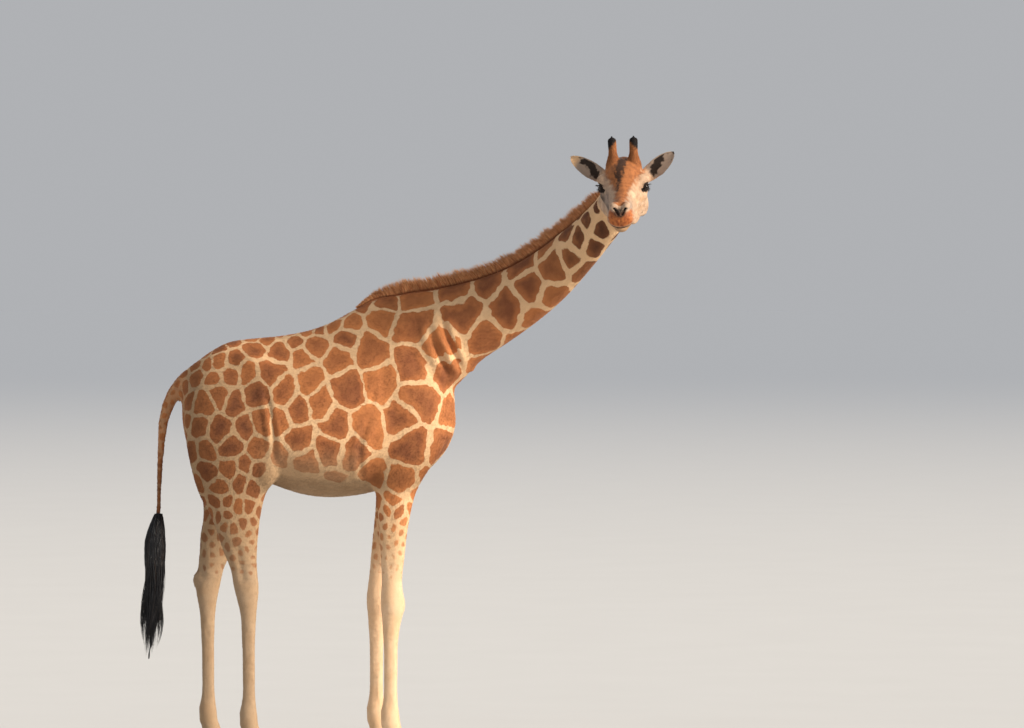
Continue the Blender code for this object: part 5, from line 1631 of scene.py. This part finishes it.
tresses = hairs("tail_hair", paths, 0.0021, 4, 92)
tresses.data.materials.append(tail_material)

# ---------------------------------------------------------------------------------------------- hooves
# Two claws of dark horn on each foot, flat-soled and blunt, with fine growth rings round their walls and
# paler, worn lower edges. They stand on the ground and take up the legs under the coronet.

HOOF_LENGTH, HOOF_HALF_WIDTH, HOOF_SPLIT = 0.205, 0.040, 0.003
CORONET, HIND_SIZE = 0.0947, 0.93  # height of a hoof, and the size of a hind one as a share of a fore one


def hoof_paint(start):
    """Dark brown horn, streaked down and ringed across, greyer and rougher towards the ground."""
    height = start.node("SeparateXYZ", {}, {0: start.node("TexCoord", out="Object")}, out=2)
    rings = noise(start, 70, 3, (0.35, 0.35, 2.4))
    streaks = noise(start, 160, 3, (1, 1, 0.12))
    made = mixed(step(rings, 0.35, 0.70), colour(0.048, 0.034, 0.026), colour(0.110, 0.078, 0.055))
    made = mixed(step(streaks, 0.50, 0.80) * 0.4, made, colour(0.180, 0.135, 0.095))
    worn = 1.0 - step(height + (noise(start, 60, 2) - 0.5) * 0.02, 0.002, 0.022)
    made = mixed(worn, made, colour(0.200, 0.165, 0.130))
    relief = rings * 0.7 + streaks * 0.3
    bump = start.node("Bump", {}, {"Height": relief, "Strength": 0.5, "Distance": 0.0015})
    rough = 0.48 + (1.0 - step(height, 0.0, 0.03)) * 0.25
    return {"Base Color": made, "Roughness": rough, "Normal": bump, "Specular IOR Level": 0.4}


def claw(name, foot, side, size):
    """One claw, as rows from heel to toe of a closed outline from sole to top. At share s of the way, its
    half width is 0.040 sin(pi min(1, 0.13 + 0.80 s))^0.55 (1 - 0.30 s), and its height falls as
    ((1 - s) / 0.52)^0.75."""
    s = np.linspace(0, 1, 46)[:, None]
    x = (HOOF_LENGTH * s - 0.085) * size
    half = HOOF_HALF_WIDTH * size * np.sin(np.pi * np.minimum(1, 0.13 + 0.80 * s)) ** 0.55 * (1 - 0.30 * s)
    height = np.maximum(CORONET * np.minimum(1, (1 - s) / 0.52) ** 0.75, 0.016)
    lean = 0.20 * (1 - s)
    across = half * np.hstack([0 * s, 1.9 + 0 * s, 2 + 0 * s, 1.9 - 0.5 * lean, 1.66 - lean, 0 * s])
    rise = np.hstack([0 * half, 0 * half, 0.25 * height, 0.75 * height, height, height])
    edge = np.stack([across, rise], -1)
    nxt = np.roll(edge, -1, axis=1)
    t = np.linspace(0, 1, 7)[:-1, None]
    edge = (edge[:, :, None] * (1 - t) + nxt[:, :, None] * t).reshape(len(s), -1, 2)
    for _ in range(3):
        edge = 0.5 * edge + 0.25 * (np.roll(edge, 1, axis=1) + np.roll(edge, -1, axis=1))
    inner = HOOF_SPLIT / 2 + 0.010 * s * s
    across, up = edge[..., 0], edge[..., 1]
    grid = np.stack([foot[0] + x + 0 * across, foot[1] + side * (inner + across), up], -1)
    points = np.concatenate([grid.reshape(-1, 3), grid[[0, -1]].mean(1)])
    piece = righted(moulded(name, points, tube_faces(len(s), edge.shape[1])))
    points = places(piece.data)
    ring = 0.0005 * np.sin(2 * np.pi * (points[:, 2] + 0.25 * points[:, 0]) / 0.0085)
    ring *= ramp(points[:, 2], 0.006, 0.02)
    points += normals(piece.data) * ring[:, None]
    points[:, 2] = np.maximum(points[:, 2], 0)
    moved(piece.data, points)
    return piece


hoof_material = finished("hoof_horn", hoof_paint)
for pair, feet, size in (("fore", FORE_FEET, 1.0), ("hind", HIND_FEET, HIND_SIZE)):
    for foot, word in zip(feet, ("right", "left")):
        for which, way in (("outer", np.sign(foot[1])), ("inner", -np.sign(foot[1]))):
            hoof = claw(f"hoof_{pair}_{word}_{which}_horn", foot, way, size)
            hoof.data.materials.append(hoof_material)
            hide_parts(f"hoof_{pair}_{word}_{which}")

# -------------------------------------------------------------------------------------------- assembly
# The hide stands for every node of flesh. All pieces go to their place in the row's frame and ride on its one
# body.

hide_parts("trunk", "neck_lower", "neck_upper", "head", "ear_right", "ear_left", "tail",
            *[f"{limb}_{word}_{end}" for limb in ("foreleg", "hindleg") for word in ("right", "left")
              for end in ("upper", "lower")])
for piece in list(bpy.context.scene.objects):
    if piece.type != "MESH" or piece.name in frame["nodes"]:
        continue
    moved(piece.data, places(piece.data) + HOME)
    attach(piece, "root")

# -------------------------------------------------------------------------------- floor, light, camera
# A plain pale floor, and a warm, rather low sun from the camera's right with a weak cool fill from its left,
# a soft light from behind, and an even pale surround. The camera stands far off with a long lens.

SURROUND, SURROUND_LIGHT = np.array([0.94, 0.96, 1.0]), 0.46
# name, the way the light goes, strength, angle across the lamp, colour
LAMPS = (
    ("key_light", (-0.88, 0.46, -0.42), 5.30, 0.24, (1.0, 0.90, 0.77)),
    ("fill_light", (0.70, 0.55, -0.35), 0.18, 0.60, (0.90, 0.95, 1.0)),
    ("back_light", (0.10, -0.85, -0.50), 0.70, 0.60, (1.0, 0.98, 0.95)),
)
fallen = SURROUND * SURROUND_LIGHT  # the light that falls on the floor
for name, way, strength, soft, tint in LAMPS:
    lamp = bpy.data.lights.new(name, "SUN")
    lamp.energy, lamp.angle, lamp.color = strength, soft, tint
    light = bpy.data.objects.new(name, lamp)
    light.rotation_euler = Vector(way).to_track_quat("-Z", "Y").to_euler()
    bpy.context.scene.collection.objects.link(light)
    fallen = fallen + np.array(tint) * strength * -way[2] / np.linalg.norm(way) / np.pi


def floor_paint(start):
    """Pale matt plaster with the faintest mottling. Far off it shades into the tone of the surround."""
    place = start.node("TexCoord", out="Object")
    far = step(start.node("VectorMath", {"operation": "LENGTH"}, {0: place}, out=1), 5.0, 90.0)
    made = mixed(noise(start, 1.3, 4), colour(0.60, 0.595, 0.585), colour(0.63, 0.625, 0.615))
    made = mixed(far, made, colour(*(SURROUND * SURROUND_LIGHT / fallen)))
    return {"Base Color": made, "Roughness": 1.0, "Specular IOR Level": 0.0}


reach = 160.0
corners = np.array([(-reach, -reach, 0), (reach, -reach, 0), (reach, reach, 0), (-reach, reach, 0)])
floor = moulded("floor", corners, [(0, 1, 2, 3)])
floor.data.materials.append(finished("floor_plaster", floor_paint))

world = bpy.data.worlds.new("surround")
world.use_nodes = True
world.node_tree.nodes["Background"].inputs["Color"].default_value = colour(*SURROUND)
world.node_tree.nodes["Background"].inputs["Strength"].default_value = SURROUND_LIGHT
bpy.context.scene.world = world
bpy.context.scene.view_settings.view_transform = "Standard"

VIEW_WIDTH, VIEW_DISTANCE = 6.04, 40.0  # how much it takes in at the body, and how far off it stands
aim = Vector(HOME) + Vector((0.661, 0, 2.30))
camera = bpy.data.objects.new("camera", bpy.data.cameras.new("camera"))
camera.location = Vector(HOME) + Vector((0.661, -VIEW_DISTANCE, 3.27))
camera.rotation_euler = (aim - camera.location).to_track_quat("-Z", "Y").to_euler()
camera.data.sensor_width = 36.0
camera.data.lens = camera.data.sensor_width * (aim - camera.location).length / VIEW_WIDTH
camera.data.clip_end = 400.0
bpy.context.scene.collection.objects.link(camera)
bpy.context.scene.camera = camera
